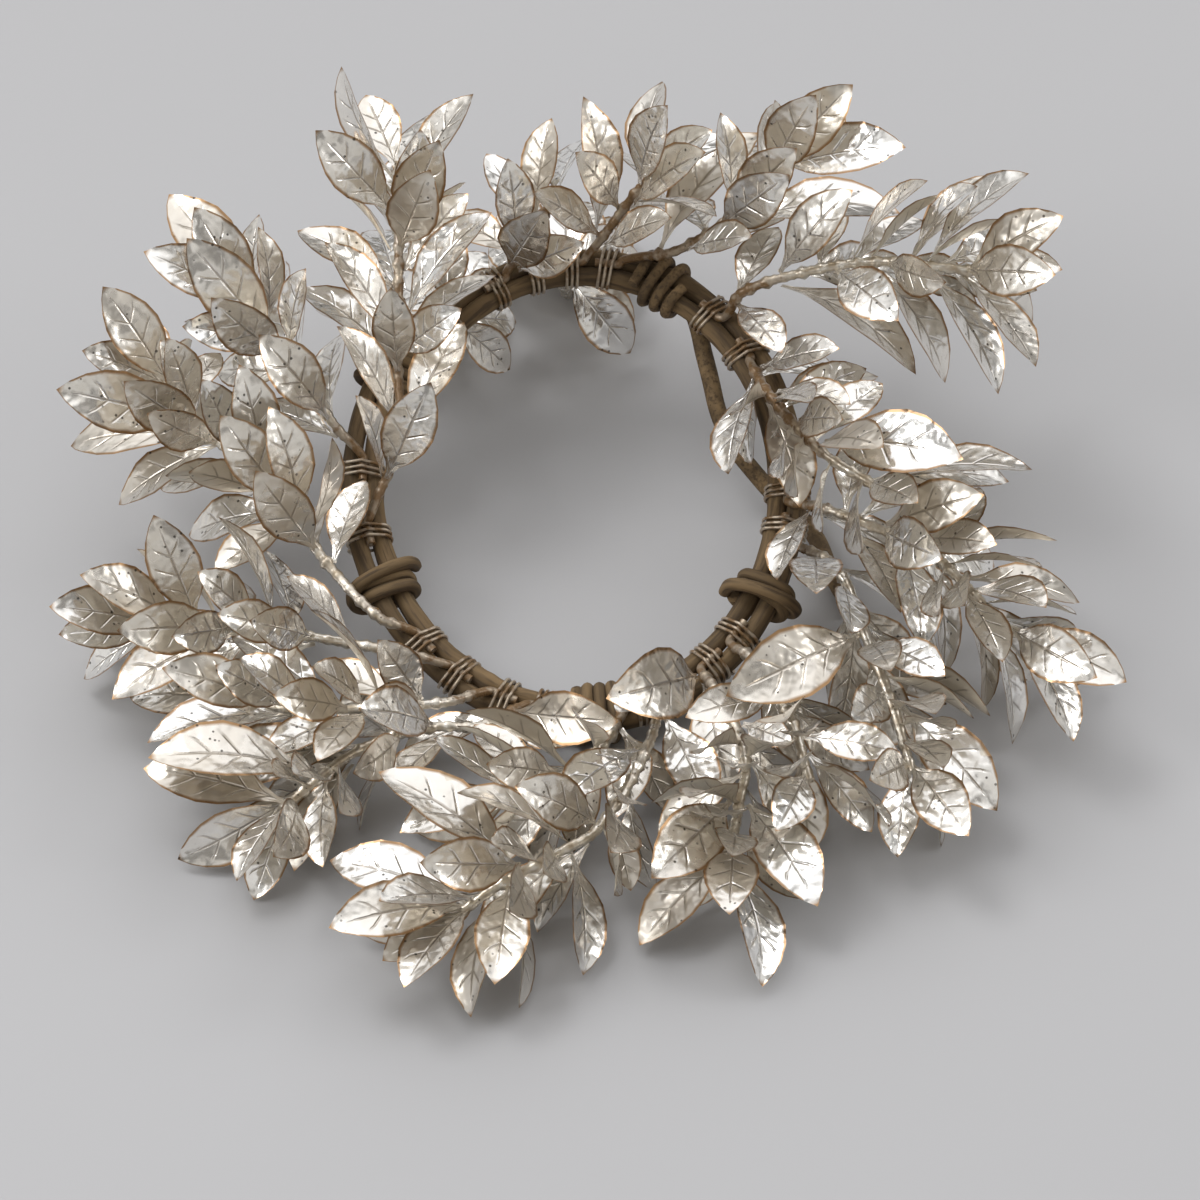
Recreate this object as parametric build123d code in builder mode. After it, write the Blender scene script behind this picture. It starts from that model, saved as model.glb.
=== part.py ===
"""Candle ring: a vine ring dressed with wired sprays of metal-coated leaves.

Millimetres. The origin is the middle of the free place in the ring, on the table. +X is to the right, +Y
points away from the viewer and +Z is up. The ring leans: its front lies on the table and its back is raised.
"""

import math
import os
from collections import namedtuple

import numpy as np
from build123d import *

# Ring of vine
RING_WIDTH = 122.0
RING_LENGTH = 151.0
RING_TILT = 16.5
RING_CENTRE_X = -4.0
RING_CENTRE_Y = 25.0
VINE_DIAMETER = 5.2
STRAND_GAP = 0.8
COIL_START = 150.0
COIL_OVERLAP = 6.0

# Knots of thinner vine and the wire that binds the sprays
KNOT_DIAMETER = 3.2
KNOT_TURNS = 3
KNOT_GAP = 1.5
TIE_DIAMETER = 1.0
TIE_TURNS = 3
TIE_GAP = 0.8
WRAP_CLEARANCE = 0.15
REST_FLAT = 0.5

# Sprays
STEM_DIAMETER = 2.6
CORE_DIAMETER = 1.0
CORE_CLEARANCE = 0.2
COLLAR_DIAMETER = 3.9
COLLAR_LENGTH = 2.0
COLLAR_SIDES = 8
COLLAR_CLEARANCE = 0.2
COLLAR_STEP = 5.5
FOOT_LENGTH = 7.0
FOOT_RISE = 1.4
SEAT_CLEARANCE = 0.3

# Leaves
LEAF_THICKNESS = 0.5
LEAF_FOLD = 14.0
LEAF_ARCH_RADIUS = 62.0
STALK_WIDTH = 1.7
STALK_SHARE = 0.13
WIDEST_SHARE = 0.56
LEAF_CLEARANCE = 0.4
HERO_LENGTH = 46.0
HERO_WIDTH = 21.0
LARGE_LENGTH = 40.0
LARGE_WIDTH = 19.0
MIDDLE_LENGTH = 34.0
MIDDLE_WIDTH = 16.8
SMALL_LENGTH = 27.0
SMALL_WIDTH = 14.0
TINY_LENGTH = 19.0
TINY_WIDTH = 10.0

# Free place inside the ring
FREE_DIAMETER = 76.2
FREE_CLEARANCE = 1.0

# Leaves that fill the outer share of each stem between the ones listed below
FILL_START = 0.42
FILL_TURN = 137.5
FILL_OPENING = 40.0
FILL_MARGIN = 0.05

# Direction from which the leaves below are described: a viewer in front, looking down at this angle
VIEW_HEIGHT = 45.0

VINE_RADIUS = VINE_DIAMETER / 2
KNOT_RADIUS = KNOT_DIAMETER / 2
TIE_RADIUS = TIE_DIAMETER / 2
STEM_RADIUS = STEM_DIAMETER / 2
COLLAR_RADIUS = COLLAR_DIAMETER / 2
COLLAR_BORE = STEM_RADIUS + COLLAR_CLEARANCE
COLLAR_REACH = math.hypot(COLLAR_RADIUS, COLLAR_LENGTH / 2)
STRAND_PITCH = VINE_DIAMETER + STRAND_GAP
SPUR_FOOT = KNOT_TURNS * (KNOT_DIAMETER + KNOT_GAP) + 2 * KNOT_DIAMETER

TILT = math.radians(RING_TILT)
RING_ACROSS = np.array([1.0, 0.0, 0.0])
RING_BACK = np.array([0.0, math.cos(TILT), math.sin(TILT)])
RING_UP = np.array([0.0, -math.sin(TILT), math.cos(TILT)])
FRONT_HEIGHT = VINE_RADIUS + KNOT_DIAMETER + WRAP_CLEARANCE - REST_FLAT
RING_HEIGHT = (RING_LENGTH / 2 + STRAND_PITCH) * math.sin(TILT) + FRONT_HEIGHT * math.cos(TILT)
RING_CENTRE = np.array([RING_CENTRE_X, RING_CENTRE_Y, RING_HEIGHT])

VIEW = math.radians(VIEW_HEIGHT)
VIEW_RIGHT = np.array([1.0, 0.0, 0.0])
VIEW_UP = np.array([0.0, math.sin(VIEW), math.cos(VIEW)])
VIEW_TOWARD = np.array([0.0, -math.cos(VIEW), math.sin(VIEW)])

LEAF_SIZES = {
    "h": (HERO_LENGTH, HERO_WIDTH),
    "l": (LARGE_LENGTH, LARGE_WIDTH),
    "m": (MIDDLE_LENGTH, MIDDLE_WIDTH),
    "s": (SMALL_LENGTH, SMALL_WIDTH),
    "t": (TINY_LENGTH, TINY_WIDTH),
}

# A spray is wired to the ring at an angle round it (0 at the right, 90 at the back). Its route lists points
# from that seat on. A leaf has its place along the stem (0 foot, 1 tip), its clock angle as the viewer sees
# it, a size, its lean towards the viewer and the roll of its face away from the viewer, towards the sky.
Spray = namedtuple("Spray", "name angle route leaves")

SPRAYS = [
    Spray(
        "rear_left_tall",
        194,
        [(8, 22, 15), (8, 50, 27), (8, 77, 43), (8, 95, 57)],
        [
            (1.0, 113, "s", -28, 10), (0.9, 134, "m", 25, 0), (0.95, 72, "m", -35, 50),
            (0.95, 55, "m", -15, 45), (0.79, 66, "m", 50, 0), (0.86, 65, "m", 40, 0),
            (0.77, 50, "s", 30, 20), (0.6, 51, "l", 12, 50), (0.57, 35, "m", -30, 60),
            (0.55, 125, "m", 18, 42), (0.54, 141, "m", -12, 50), (0.5, 145, "m", -22, 65),
            (0.53, 35, "s", 40, 20), (0.34, 120, "m", 25, 50), (0.34, 61, "m", -30, 30),
            (0.2, 106, "s", 25, 60), (0.2, 64, "m", 30, 20), (0.7, 110, "m", -55, 20),
            (0.7, 150, "m", -30, 40),
        ],
    ),
    Spray(
        "left_rear",
        178,
        [(-8, 9, 9), (-17, 18, 18), (-24, 26, 24), (-33, 37, 31)],
        [
            (0.4, 85, "m", -30, 48), (0.4, 129, "m", 30, 20), (0.6, 86, "m", -40, 60),
            (0.7, 76, "s", 30, 50), (0.85, 130, "l", 25, 0), (0.82, 170, "s", 45, 20),
            (1.0, 144, "m", -25, 25), (1.0, 126, "l", -25, 20), (1.0, 152, "m", 10, 30),
            (1.0, 85, "s", -20, 55), (0.2, 160, "s", -20, 40), (0.6, 175, "s", -35, 20),
        ],
    ),
    Spray(
        "left_upper",
        225,
        [(-14, 4, 7), (-29, 21, 12), (-38, 33, 18), (-53, 47, 26), (-65, 56, 32), (-76, 68, 39)],
        [
            (0.53, 103, "m", 25, 30), (0.68, 100, "m", 25, 25), (0.66, 90, "s", -30, 60),
            (0.88, 168, "l", 24, 0), (0.86, 184, "l", -20, 40), (1.0, 159, "s", 28, 30),
            (1.0, 118, "s", -40, 20), (0.96, 110, "t", 30, 50), (0.93, 55, "t", -35, 20),
            (0.93, 90, "s", -15, 62), (0.7, 192, "s", -28, 45), (0.82, 211, "m", -20, 40),
            (0.55, 194, "m", -35, 40), (0.36, 70, "s", -35, 30), (0.5, 215, "s", 20, 40),
            (0.8, 140, "m", -45, 20),
        ],
    ),
    Spray(
        "left_lower",
        237,
        [(-13, 1, 6), (-27, 2, 9), (-48, 5, 11), (-66, 8, 12), (-88, 7, 11)],
        [
            (0.42, 139, "s", 25, 50), (0.58, 117, "m", -38, 60), (0.76, 111, "m", -35, 65),
            (0.85, 111, "m", 25, 10), (0.91, 154, "m", 30, 35), (1.0, 157, "s", -25, 60),
            (1.0, 183, "s", 20, 20), (1.0, 212, "s", -25, 50), (0.78, 207, "l", -20, 35),
            (0.68, 218, "m", -10, 35), (0.72, 299, "s", -15, 40),
            (0.5, 200, "m", -10, 30), (0.25, 225, "s", 10, 40), (0.6, 165, "s", 40, 20),
        ],
    ),
    Spray(
        "front_left_inner",
        250,
        [(-17, -8, 6), (-36, -13, 9), (-52, -15, 10), (-69, -13, 9)],
        [
            (1.0, 176, "l", -20, 40), (0.95, 191, "l", 15, 50), (0.8, 146, "m", -10, 50),
            (0.42, 125, "s", 42, 10), (0.7, 205, "s", 10, 40), (0.62, 225, "s", 25, 40),
            (0.9, 150, "s", 35, 20), (0.5, 160, "s", -25, 40),
        ],
    ),
    Spray(
        "front_left",
        260.3,
        [(-17, -12, 5), (-32, -15, 7), (-46, -21, 8), (-57, -29, 8), (-72, -45, 7)],
        [
            (0.7, 183, "h", 15, 35), (0.9, 174, "h", -12, 45), (0.42, 224, "s", 35, 55),
            (0.74, 241, "m", 18, 45), (0.22, 199, "s", -10, 45), (1.0, 235, "s", 30, 55),
            (1.0, 250, "s", -5, 20), (1.0, 168, "l", 10, 30), (0.55, 150, "s", -35, 30),
            (0.86, 270, "s", 0, 30), (0.08, 355, "m", 35, 0), (0.55, 255, "s", 0, 40),
        ],
    ),
    Spray(
        "front_centre",
        287,
        [(-12, -26, 7), (-24, -40, 9), (-36, -47, 9)],
        [
            (1.0, 150, "s", 10, 60), (0.9, 138, "s", -25, 40), (0.8, 172, "s", 45, 0),
            (0.4, 178, "s", -10, 30), (1.0, 195, "m", 20, 30), (0.85, 232, "s", 0, 30),
            (0.6, 255, "s", 10, 30), (0.35, 300, "s", 20, 30),
        ],
    ),
    Spray(
        "front",
        297,
        [(-10, -37, 8), (-23, -66, 9), (-35, -76, 9), (-51, -87, 8), (-59, -93, 6)],
        [
            (0.87, 177, "m", 37, 0), (1.0, 162, "l", -12, 40), (1.0, 188, "l", 15, 40),
            (1.0, 212, "s", 30, 20), (1.0, 230, "m", 5, 20), (0.92, 262, "m", 42, 0),
            (0.95, 258, "m", 5, 45), (0.88, 277, "m", -5, 60), (0.71, 155, "m", -15, 65),
            (0.62, 154, "m", 30, 15), (0.86, 147, "h", -8, 45), (0.7, 275, "m", 0, 60),
            (0.58, 285, "t", 10, 20), (0.38, 215, "m", 28, 30),
            (0.28, 247, "s", 30, 40), (0.12, 203, "s", 40, 40), (0.16, 296, "m", 42, 20),
        ],
    ),
    Spray(
        "front_drooping",
        308,
        [(1, -18, 5), (9, -43, 5), (7, -62, 3), (4, -79, 1)],
        [
            (0.05, 193, "h", 22, 5), (0.05, 282, "m", 43, 0), (0.77, 223, "l", 32, 0),
            (0.97, 265, "m", 42, 0), (1.0, 225, "m", 5, 30), (1.0, 285, "l", 5, 50),
            (0.7, 215, "s", 0, 30), (0.9, 318, "s", 25, 20), (0.82, 295, "l", 2, 60),
            (0.5, 340, "t", 30, 20), (0.6, 305, "s", 5, 20),
        ],
    ),
    Spray(
        "front_right_inner",
        318,
        [(4, -20, 8), (14, -42, 8), (19, -62, 5)],
        [
            (1.0, 240, "s", 37, 0), (0.62, 190, "s", 10, 20), (0.82, 350, "s", 10, 30),
            (0.9, 310, "s", 5, 30),
        ],
    ),
    Spray(
        "front_right",
        348,
        [(15, -25, 6), (23, -51, 3), (30, -74, -2), (34, -91, -6)],
        [
            (0.42, 273, "s", 42, 40), (0.62, 332, "s", 42, 30), (0.47, 308, "s", -25, 20),
            (0.82, 312, "l", 20, 20), (1.0, 308, "m", 35, 10), (1.0, 200, "s", 30, 20),
            (1.0, 262, "s", 25, 20), (0.26, 268, "m", 46, 0), (0.3, 323, "l", -20, 62),
            (0.55, 204, "h", 28, 10), (0.78, 215, "s", 40, 0), (0.9, 290, "m", 0, 40),
        ],
    ),
    Spray(
        "right",
        357,
        [(10, -14, 6), (23, -24, 9), (39, -34, 9), (51, -47, 6), (59, -57, 3), (65, -60, 1)],
        [
            (0.38, 20, "m", -30, 50), (0.5, 17, "m", 38, 15), (0.58, 355, "s", 42, 30),
            (0.62, 345, "s", -38, 20), (0.36, 298, "m", 35, 45), (0.56, 280, "m", 30, 35),
            (0.78, 349, "m", -15, 55), (1.0, 335, "m", 22, 10), (0.74, 283, "m", -20, 65),
            (0.8, 296, "s", 40, 30), (0.93, 278, "m", -12, 60), (1.0, 297, "m", 25, 45),
            (0.12, 330, "m", 30, 50), (0.08, 243, "s", 38, 50), (0.32, 75, "s", -30, 30),
            (0.66, 60, "s", -35, 20),
        ],
    ),
    Spray(
        "right_rear",
        36,
        [(7, -27, 6), (12, -37, 7), (23, -53, 7), (35, -62, 5)],
        [
            (0.12, 12, "s", 35, 40), (0.24, 14, "s", -42, 40), (0.46, 10, "m", -30, 50),
            (0.5, 24, "s", -35, 30), (0.44, 348, "s", 42, 40), (0.64, 0, "s", 40, 20),
            (0.8, 351, "h", 25, 25), (0.22, 270, "s", 25, 60), (0.3, 255, "m", 38, 50),
            (0.46, 286, "m", 35, 45), (1.0, 333, "s", 42, 20),
            (1.0, 0, "l", -20, 45), (1.0, 350, "h", 5, 45), (0.7, 40, "s", -30, 30),
        ],
    ),
    Spray(
        "rear_right",
        50,
        [(10, -5, 12), (28, -3, 18), (47, -4, 23), (64, -8, 25), (76, -8, 23)],
        [
            (0.39, 48, "m", 28, 25), (0.4, 327, "h", 10, 55), (0.58, 317, "m", 48, 0),
            (0.6, 32, "s", -32, 50), (0.78, 41, "l", -20, 60), (0.87, 39, "l", 25, 65),
            (1.0, 30, "m", 35, 20), (1.0, 0, "s", 25, 40), (1.0, 343, "t", 30, 20),
            (0.98, 305, "m", 25, 45), (0.88, 300, "l", 5, 50), (0.7, 303, "l", -15, 50),
            (0.2, 60, "s", -30, 30), (0.2, 310, "s", 30, 30), (0.5, 75, "s", -45, 20),
            (0.92, 15, "m", -40, 30),
        ],
    ),
    Spray(
        "rear_right_tall",
        82.5,
        [(23, -5, 11), (42, 3, 22), (50, 9, 30)],
        [
            (1.0, 47, "m", 26, 10), (1.0, 92, "t", 20, 55), (1.0, 8, "l", 25, 35),
            (0.28, 50, "h", -12, 50), (0.65, 34, "m", 48, 0), (0.75, 3, "h", 5, 45),
            (0.5, 6, "s", 40, 40), (0.72, 95, "s", -25, 50), (0.85, 60, "m", -40, 20),
            (0.6, 120, "s", -40, 20), (0.55, 20, "s", -45, 20),
        ],
    ),
    Spray(
        "rear",
        93,
        [(10, 2, 9), (17, 5, 19), (23, 7, 27)],
        [
            (0.97, 80, "m", -30, 45), (0.4, 94, "l", 8, 50), (1.0, 37, "s", 38, 30),
            (1.0, 30, "s", -30, 45), (0.85, 32, "m", 10, 40), (0.45, 20, "s", 35, 30),
            (0.75, 130, "s", 30, 20), (0.65, 5, "s", -35, 20), (0.3, 150, "s", 20, 30),
            (1.0, 100, "m", -60, 10),
        ],
    ),
    Spray(
        "rear_left",
        116,
        [(9, 4, 11), (14, 8, 19), (18, 11, 25)],
        [
            (0.2, 53, "m", 35, 0), (0.9, 70, "s", 38, 30), (0.75, 74, "s", -20, 60),
            (1.0, 59, "m", -25, 50), (0.65, 120, "s", -30, 30), (0.45, 20, "s", 30, 40),
            (0.35, 150, "s", -35, 30), (0.55, 95, "s", 45, 20),
        ],
    ),
    Spray(
        "rear_left_low",
        133,
        [(0, 17, -9), (-3, 30, -27), (-5, 42, -60)],
        [
            (0.3, 150, "s", -45, 0), (0.45, 35, "s", -45, 0), (0.6, 165, "m", -50, 0),
            (0.7, 20, "s", -50, 0), (0.85, 140, "m", -40, 0), (0.9, 60, "m", -40, 0),
            (1.0, 110, "m", -48, 0), (0.5, 90, "s", -20, 0),
        ],
    ),
    Spray(
        "rear_low",
        104,
        [(8, 16, -10), (9, 30, -30), (10, 41, -65)],
        [
            (0.3, 155, "s", -45, 0), (0.45, 30, "s", -45, 0), (0.6, 160, "m", -50, 0),
            (0.7, 15, "m", -50, 0), (0.85, 130, "m", -40, 0), (0.9, 50, "m", -40, 0),
            (1.0, 90, "m", -48, 0), (0.5, 85, "s", -20, 0),
        ],
    ),
]

# A knot is wound round the ring at an angle. The rear one also holds the spur under the ring.
KNOTS = {"left_knot": 207, "front_knot": 272.6, "right_knot": 330, "rear_knot": 66, "end_knot": 150}
SPUR_KNOT = "rear_knot"
SPUR_ROUTE = [(13, -19, -10), (19, -37, -22), (31, -48, -34), (43, -57, -60), (51, -81, -60), (56, -93, -60)]


def unit(vector):
    """The vector scaled to length one."""
    return vector / np.linalg.norm(vector)


def ring_frame(angle, offset=0.0):
    """Point on the ring at an angle, with the directions along the ring and outward from it."""
    turn = math.radians(angle)
    across = RING_WIDTH / 2
    back = RING_LENGTH / 2
    along = unit(-across * math.sin(turn) * RING_ACROSS + back * math.cos(turn) * RING_BACK)
    outward = np.cross(along, RING_UP)
    middle = RING_CENTRE + across * math.cos(turn) * RING_ACROSS + back * math.sin(turn) * RING_BACK
    return middle + offset * outward, along, outward


def ring_step(angle, distance):
    """The ring's angle at a distance along the ring from another angle."""
    turn = math.radians(angle)
    speed = math.hypot(RING_WIDTH / 2 * math.sin(turn), RING_LENGTH / 2 * math.cos(turn))
    return angle + math.degrees(distance / speed)


def strand_offsets(angle):
    """How far the inmost and outmost strands lie outward of the ring's middle line at an angle."""
    turned = (COIL_START - angle) % 360.0
    if min(turned, 360.0 - turned) < 2 * COIL_OVERLAP:
        return -STRAND_PITCH, STRAND_PITCH
    return STRAND_PITCH * (turned / 360.0 - 1.0), STRAND_PITCH * turned / 360.0


def seat_height(rod_radius):
    """Height over the strands' plane at which a round rod lies in the groove between two strands."""
    reach = VINE_RADIUS + rod_radius + SEAT_CLEARANCE
    return math.sqrt(reach * reach - STRAND_PITCH * STRAND_PITCH / 4)


def smooth_tangents(points, first):
    """Direction of travel at each point of a route: the first is given, the others follow the neighbours."""
    points = np.asarray(points, float)
    ahead = np.vstack([points[1:], points[-1:]])
    behind = np.vstack([points[:1], points[:-1]])
    tangents = [unit(row) for row in ahead - behind]
    tangents[0] = first
    return tangents


def biarc_joint(start, start_way, end, end_way):
    """Joint of two arcs that leave the start and reach the end in the given directions."""
    chord = end - start
    spread = 2.0 * (1.0 - float(start_way @ end_way))
    lead = float(chord @ (start_way + end_way))
    reach = float(chord @ chord)
    if spread < 1e-6:
        handle = reach / (2.0 * lead)
    else:
        handle = (-lead + math.sqrt(lead * lead + spread * reach)) / spread
    near = start + handle * start_way
    far = end - handle * end_way
    return (near + far) / 2, unit(far - near)


def draw_arc(start, way, end):
    """One arc, or a straight line where the end lies dead ahead."""
    if np.linalg.norm(np.cross(unit(end - start), way)) < 1e-4:
        Line(tuple(start), tuple(end))
    else:
        TangentArc(tuple(start), tuple(end), tangent=tuple(way))


def tube(points, tangents, radius, bore=None):
    """A round rod, hollow if it has a bore, swept along two tangent arcs between the points of a route."""
    with BuildPart() as rod:
        with BuildLine() as path:
            for start, way, end, end_way in zip(points[:-1], tangents[:-1], points[1:], tangents[1:]):
                joint, joint_way = biarc_joint(start, way, end, end_way)
                draw_arc(start, way, joint)
                draw_arc(joint, joint_way, end)
        with BuildSketch(Plane(origin=tuple(points[0]), z_dir=tuple(tangents[0]))):
            Circle(radius)
            if bore:
                Circle(bore, mode=Mode.SUBTRACT)
        sweep(path=path.wire())
    return rod.part


def arc_samples(start, way, end, spacing):
    """Points along the arc that leaves the start in a direction and reaches the end, without the start."""
    chord = end - start
    ahead = float(chord @ way)
    aside = np.linalg.norm(chord - ahead * way)
    turn = 2 * math.atan2(aside, ahead)
    share = np.linspace(0.0, 1.0, max(3, int(np.linalg.norm(chord) / spacing) + 2))[1:, None]
    if aside < 1e-4 * np.linalg.norm(chord):
        return start + share * chord
    inward = (chord - ahead * way) / aside
    radius = float(chord @ chord) / (2 * aside)
    return start + radius * (np.sin(share * turn) * way + (1 - np.cos(share * turn)) * inward)


def route_samples(points, tangents, spacing=1.5):
    """Points close together along the arcs of a route."""
    samples = [np.asarray(points[0], float)[None, :]]
    for start, way, end, end_way in zip(points[:-1], tangents[:-1], points[1:], tangents[1:]):
        joint, joint_way = biarc_joint(start, way, end, end_way)
        samples.append(arc_samples(start, way, joint, spacing))
        samples.append(arc_samples(joint, joint_way, end, spacing))
    return np.vstack(samples)


def run_lengths(samples):
    """Distance along a row of points up to each of them."""
    return np.concatenate([[0.0], np.cumsum(np.linalg.norm(np.diff(samples, axis=0), axis=1))])


def least_gap(points, tangents, radius):
    """Least clear distance of a wound rod to itself, between points well apart along it."""
    samples = route_samples(points, tangents, 0.8)
    run = run_lengths(samples)
    apart = np.linalg.norm(samples[:, None] - samples[None], axis=2)
    far_along = np.abs(run[:, None] - run[None]) > 6 * radius
    return round(float(apart[far_along].min() - 2 * radius), 2)


def belt(circles):
    """Arcs (centre, radius, from, to) of a tight belt round circles listed counter-clockwise."""
    leaving = []
    for (x, y, radius), (next_x, next_y, next_radius) in zip(circles, circles[1:] + circles[:1]):
        gap = math.hypot(next_x - x, next_y - y)
        heading = math.atan2(next_y - y, next_x - x)
        leaving.append(heading - math.acos((radius - next_radius) / gap))
    arcs = []
    for index, (x, y, radius) in enumerate(circles):
        start = leaving[index - 1]
        turn = (leaving[index] - start) % (2 * math.pi)
        arcs.append((np.array([x, y]), radius, start, start + turn))
    return arcs


def winding(angle, circles, wire_radius, turns, gap):
    """Route of a wire wound round a bundle of rods at an angle of the ring, straight at each end."""
    hugging = [(x, y, radius + wire_radius + WRAP_CLEARANCE) for x, y, radius in circles]
    one_turn = []
    ways = []
    for middle, radius, start, end in belt(hugging):
        for turn in np.linspace(start, end, math.ceil((end - start) / (math.pi / 2) - 1e-6) + 1):
            one_turn.append(middle + radius * np.array([math.cos(turn), math.sin(turn)]))
            ways.append(np.array([-math.sin(turn), math.cos(turn)]))
    rounds = np.array(one_turn * turns + one_turn[:1])
    run = run_lengths(rounds)
    climb = (2 * wire_radius + gap) / run[len(one_turn)]
    shift = climb * (run - run[-1] / 2)
    points = []
    tangents = []
    for place, way, distance in zip(rounds, ways * turns + ways[:1], shift):
        centre, along, outward = ring_frame(ring_step(angle, distance))
        points.append(centre + place[0] * outward + place[1] * RING_UP)
        tangents.append(unit(way[0] * outward + way[1] * RING_UP + climb * along))
    first_end = points[0] - 2 * wire_radius * tangents[0]
    last_end = points[-1] + 2 * wire_radius * tangents[-1]
    return [first_end] + points + [last_end], [tangents[0]] + tangents + [tangents[-1]]


def bundle(angle, above=None, below=None):
    """Circles of the strands at an angle, seen along the ring, with a rod in the groove above or below."""
    inner, outer = strand_offsets(angle)
    middle = (inner + outer) / 2
    circles = [(inner, 0.0, VINE_RADIUS)]
    if below:
        circles.append((middle, -seat_height(below), below))
    circles.append((outer, 0.0, VINE_RADIUS))
    if above:
        circles.append((middle, seat_height(above), above))
    return circles


def coil_route():
    """Route of the vine: twice round the ring, clockwise, one strand's pitch further out each time."""
    points = []
    tangents = []
    for angle in np.linspace(COIL_START + COIL_OVERLAP, COIL_START - 720 - COIL_OVERLAP, 33):
        offset = STRAND_PITCH * ((COIL_START - angle) / 360.0 - 1.0)
        point, along, outward = ring_frame(angle, offset)
        points.append(point)
        tangents.append(-along)
    first_end = points[0] - VINE_DIAMETER * tangents[0]
    last_end = points[-1] + VINE_DIAMETER * tangents[-1]
    return [first_end] + points + [last_end], [tangents[0]] + tangents + [tangents[-1]]


def groove(angle, height):
    """Point in the ring's groove, above it or below, with the directions along the ring and outward."""
    inner, outer = strand_offsets(angle)
    point, along, outward = ring_frame(angle, (inner + outer) / 2)
    return point + height * RING_UP, along, outward


def seated_route(angle, under, rod_radius, foot_length, route):
    """A foot in the ring's groove, a bend past the strand, then the steps of a route, down to the table."""
    height = -seat_height(rod_radius) if under else seat_height(rod_radius)
    seat, along, outward = groove(angle, height)
    first = np.array(route[0], float)
    sense = 1.0 if along @ first > 0 else -1.0
    start, start_along, start_outward = groove(ring_step(angle, -sense * foot_length / 2), height)
    end, end_along, end_outward = groove(ring_step(angle, sense * 0.45 * foot_length), height)
    aside = FOOT_RISE * (end_outward if end_outward @ first > 0 else -end_outward)
    rise = -FOOT_RISE * RING_UP if under else FOOT_RISE * RING_UP
    points = [start, end, end + sense * 1.6 * rod_radius * end_along + aside + rise]
    for step in route:
        point = seat + np.array(step, float)
        point[2] = max(point[2], rod_radius - (REST_FLAT if rod_radius == VINE_RADIUS else 0.0))
        points.append(point)
    tangents = smooth_tangents(points, sense * start_along)
    tangents[1] = sense * end_along
    return points, tangents


def leaf_middle(length, along, across):
    """Height of a leaf's middle surface: arched along its length and folded up along the midrib."""
    sag = LEAF_ARCH_RADIUS - math.sqrt(LEAF_ARCH_RADIUS**2 - length**2 / 4)
    arch = np.sqrt(LEAF_ARCH_RADIUS**2 - (along - length / 2) ** 2) - LEAF_ARCH_RADIUS + sag
    return arch + np.abs(across) * math.tan(math.radians(LEAF_FOLD))


def leaf_samples(length, width):
    """Points over a leaf's middle surface and their share of its length."""
    share, side = np.meshgrid(np.linspace(0.05, 1.0, 26) ** 1.35, np.linspace(-1.0, 1.0, 11), indexing="ij")
    reach = np.where(share < WIDEST_SHARE, WIDEST_SHARE - STALK_SHARE, 1.0 - WIDEST_SHARE)
    bulge = 1.0 - ((share - WIDEST_SHARE) / reach) ** 2
    half = np.maximum(bulge * width / 2, np.where(share < 0.5, STALK_WIDTH / 2, 0.0))
    along = share * length
    across = side * half
    surface = np.stack([along, across, leaf_middle(length, along, across)], axis=-1)
    return surface.reshape(-1, 3), share.ravel()


def leaf_blade(length, width):
    """A pointed leaf on a short stalk, its chord along X from 0 to its length and its face towards +Z."""
    sag = LEAF_ARCH_RADIUS - math.sqrt(LEAF_ARCH_RADIUS**2 - length**2 / 4)
    rise = width * math.tan(math.radians(LEAF_FOLD))
    top = LEAF_ARCH_RADIUS + LEAF_THICKNESS / 2
    under = LEAF_ARCH_RADIUS - LEAF_THICKNESS / 2
    half_swing = math.asin(length / 2 / LEAF_ARCH_RADIUS) + 0.05
    hinge = (length / 2, 0, sag - LEAF_ARCH_RADIUS)
    stalk = STALK_SHARE * length
    half_stalk = STALK_WIDTH / 2
    with BuildPart() as leaf:
        with BuildSketch(Plane.XY):
            with BuildLine():
                Polyline((stalk, half_stalk), (0, half_stalk), (0, -half_stalk), (stalk, -half_stalk))
                ThreePointArc((stalk, -half_stalk), (WIDEST_SHARE * length, -width / 2), (length, 0))
                ThreePointArc((length, 0), (WIDEST_SHARE * length, width / 2), (stalk, half_stalk))
            make_face()
        extrude(amount=length, both=True)
        facing = (math.cos(half_swing), 0, math.sin(half_swing))
        with BuildSketch(Plane(origin=hinge, x_dir=(0, 1, 0), z_dir=facing)):
            with BuildLine():
                Polyline(
                    (-width, top + rise),
                    (0, top),
                    (width, top + rise),
                    (width, under + rise),
                    (0, under),
                    (-width, under + rise),
                    close=True,
                )
            make_face()
        revolve(axis=Axis(hinge, (0, 1, 0)), revolution_arc=2 * math.degrees(half_swing), mode=Mode.INTERSECT)
    return leaf.part


def seen_leaf(clock, lean, roll):
    """Directions along and out of the face of a leaf that the viewer sees at a clock angle."""
    turn = math.radians(clock)
    tip = math.radians(lean)
    in_view = math.cos(turn) * VIEW_RIGHT + math.sin(turn) * VIEW_UP
    along = math.cos(tip) * in_view + math.sin(tip) * VIEW_TOWARD
    facing = unit(VIEW_TOWARD - (VIEW_TOWARD @ along) * along)
    side = np.cross(facing, along)
    if side[2] < 0:
        side = -side
    return along, math.cos(math.radians(roll)) * facing + math.sin(math.radians(roll)) * side


def fill_leaf(stem_way, turn, opening):
    """Directions along and out of the face of a leaf that opens from the stem, at a turn round it."""
    level = unit(np.cross(stem_way, VIEW_UP))
    upright = np.cross(level, stem_way)
    radial = math.cos(math.radians(turn)) * level + math.sin(math.radians(turn)) * upright
    cosine = math.cos(math.radians(opening))
    sine = math.sin(math.radians(opening))
    face = sine * stem_way - cosine * radial
    return cosine * stem_way + sine * radial, face if face[2] > 0 else -face


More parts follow.
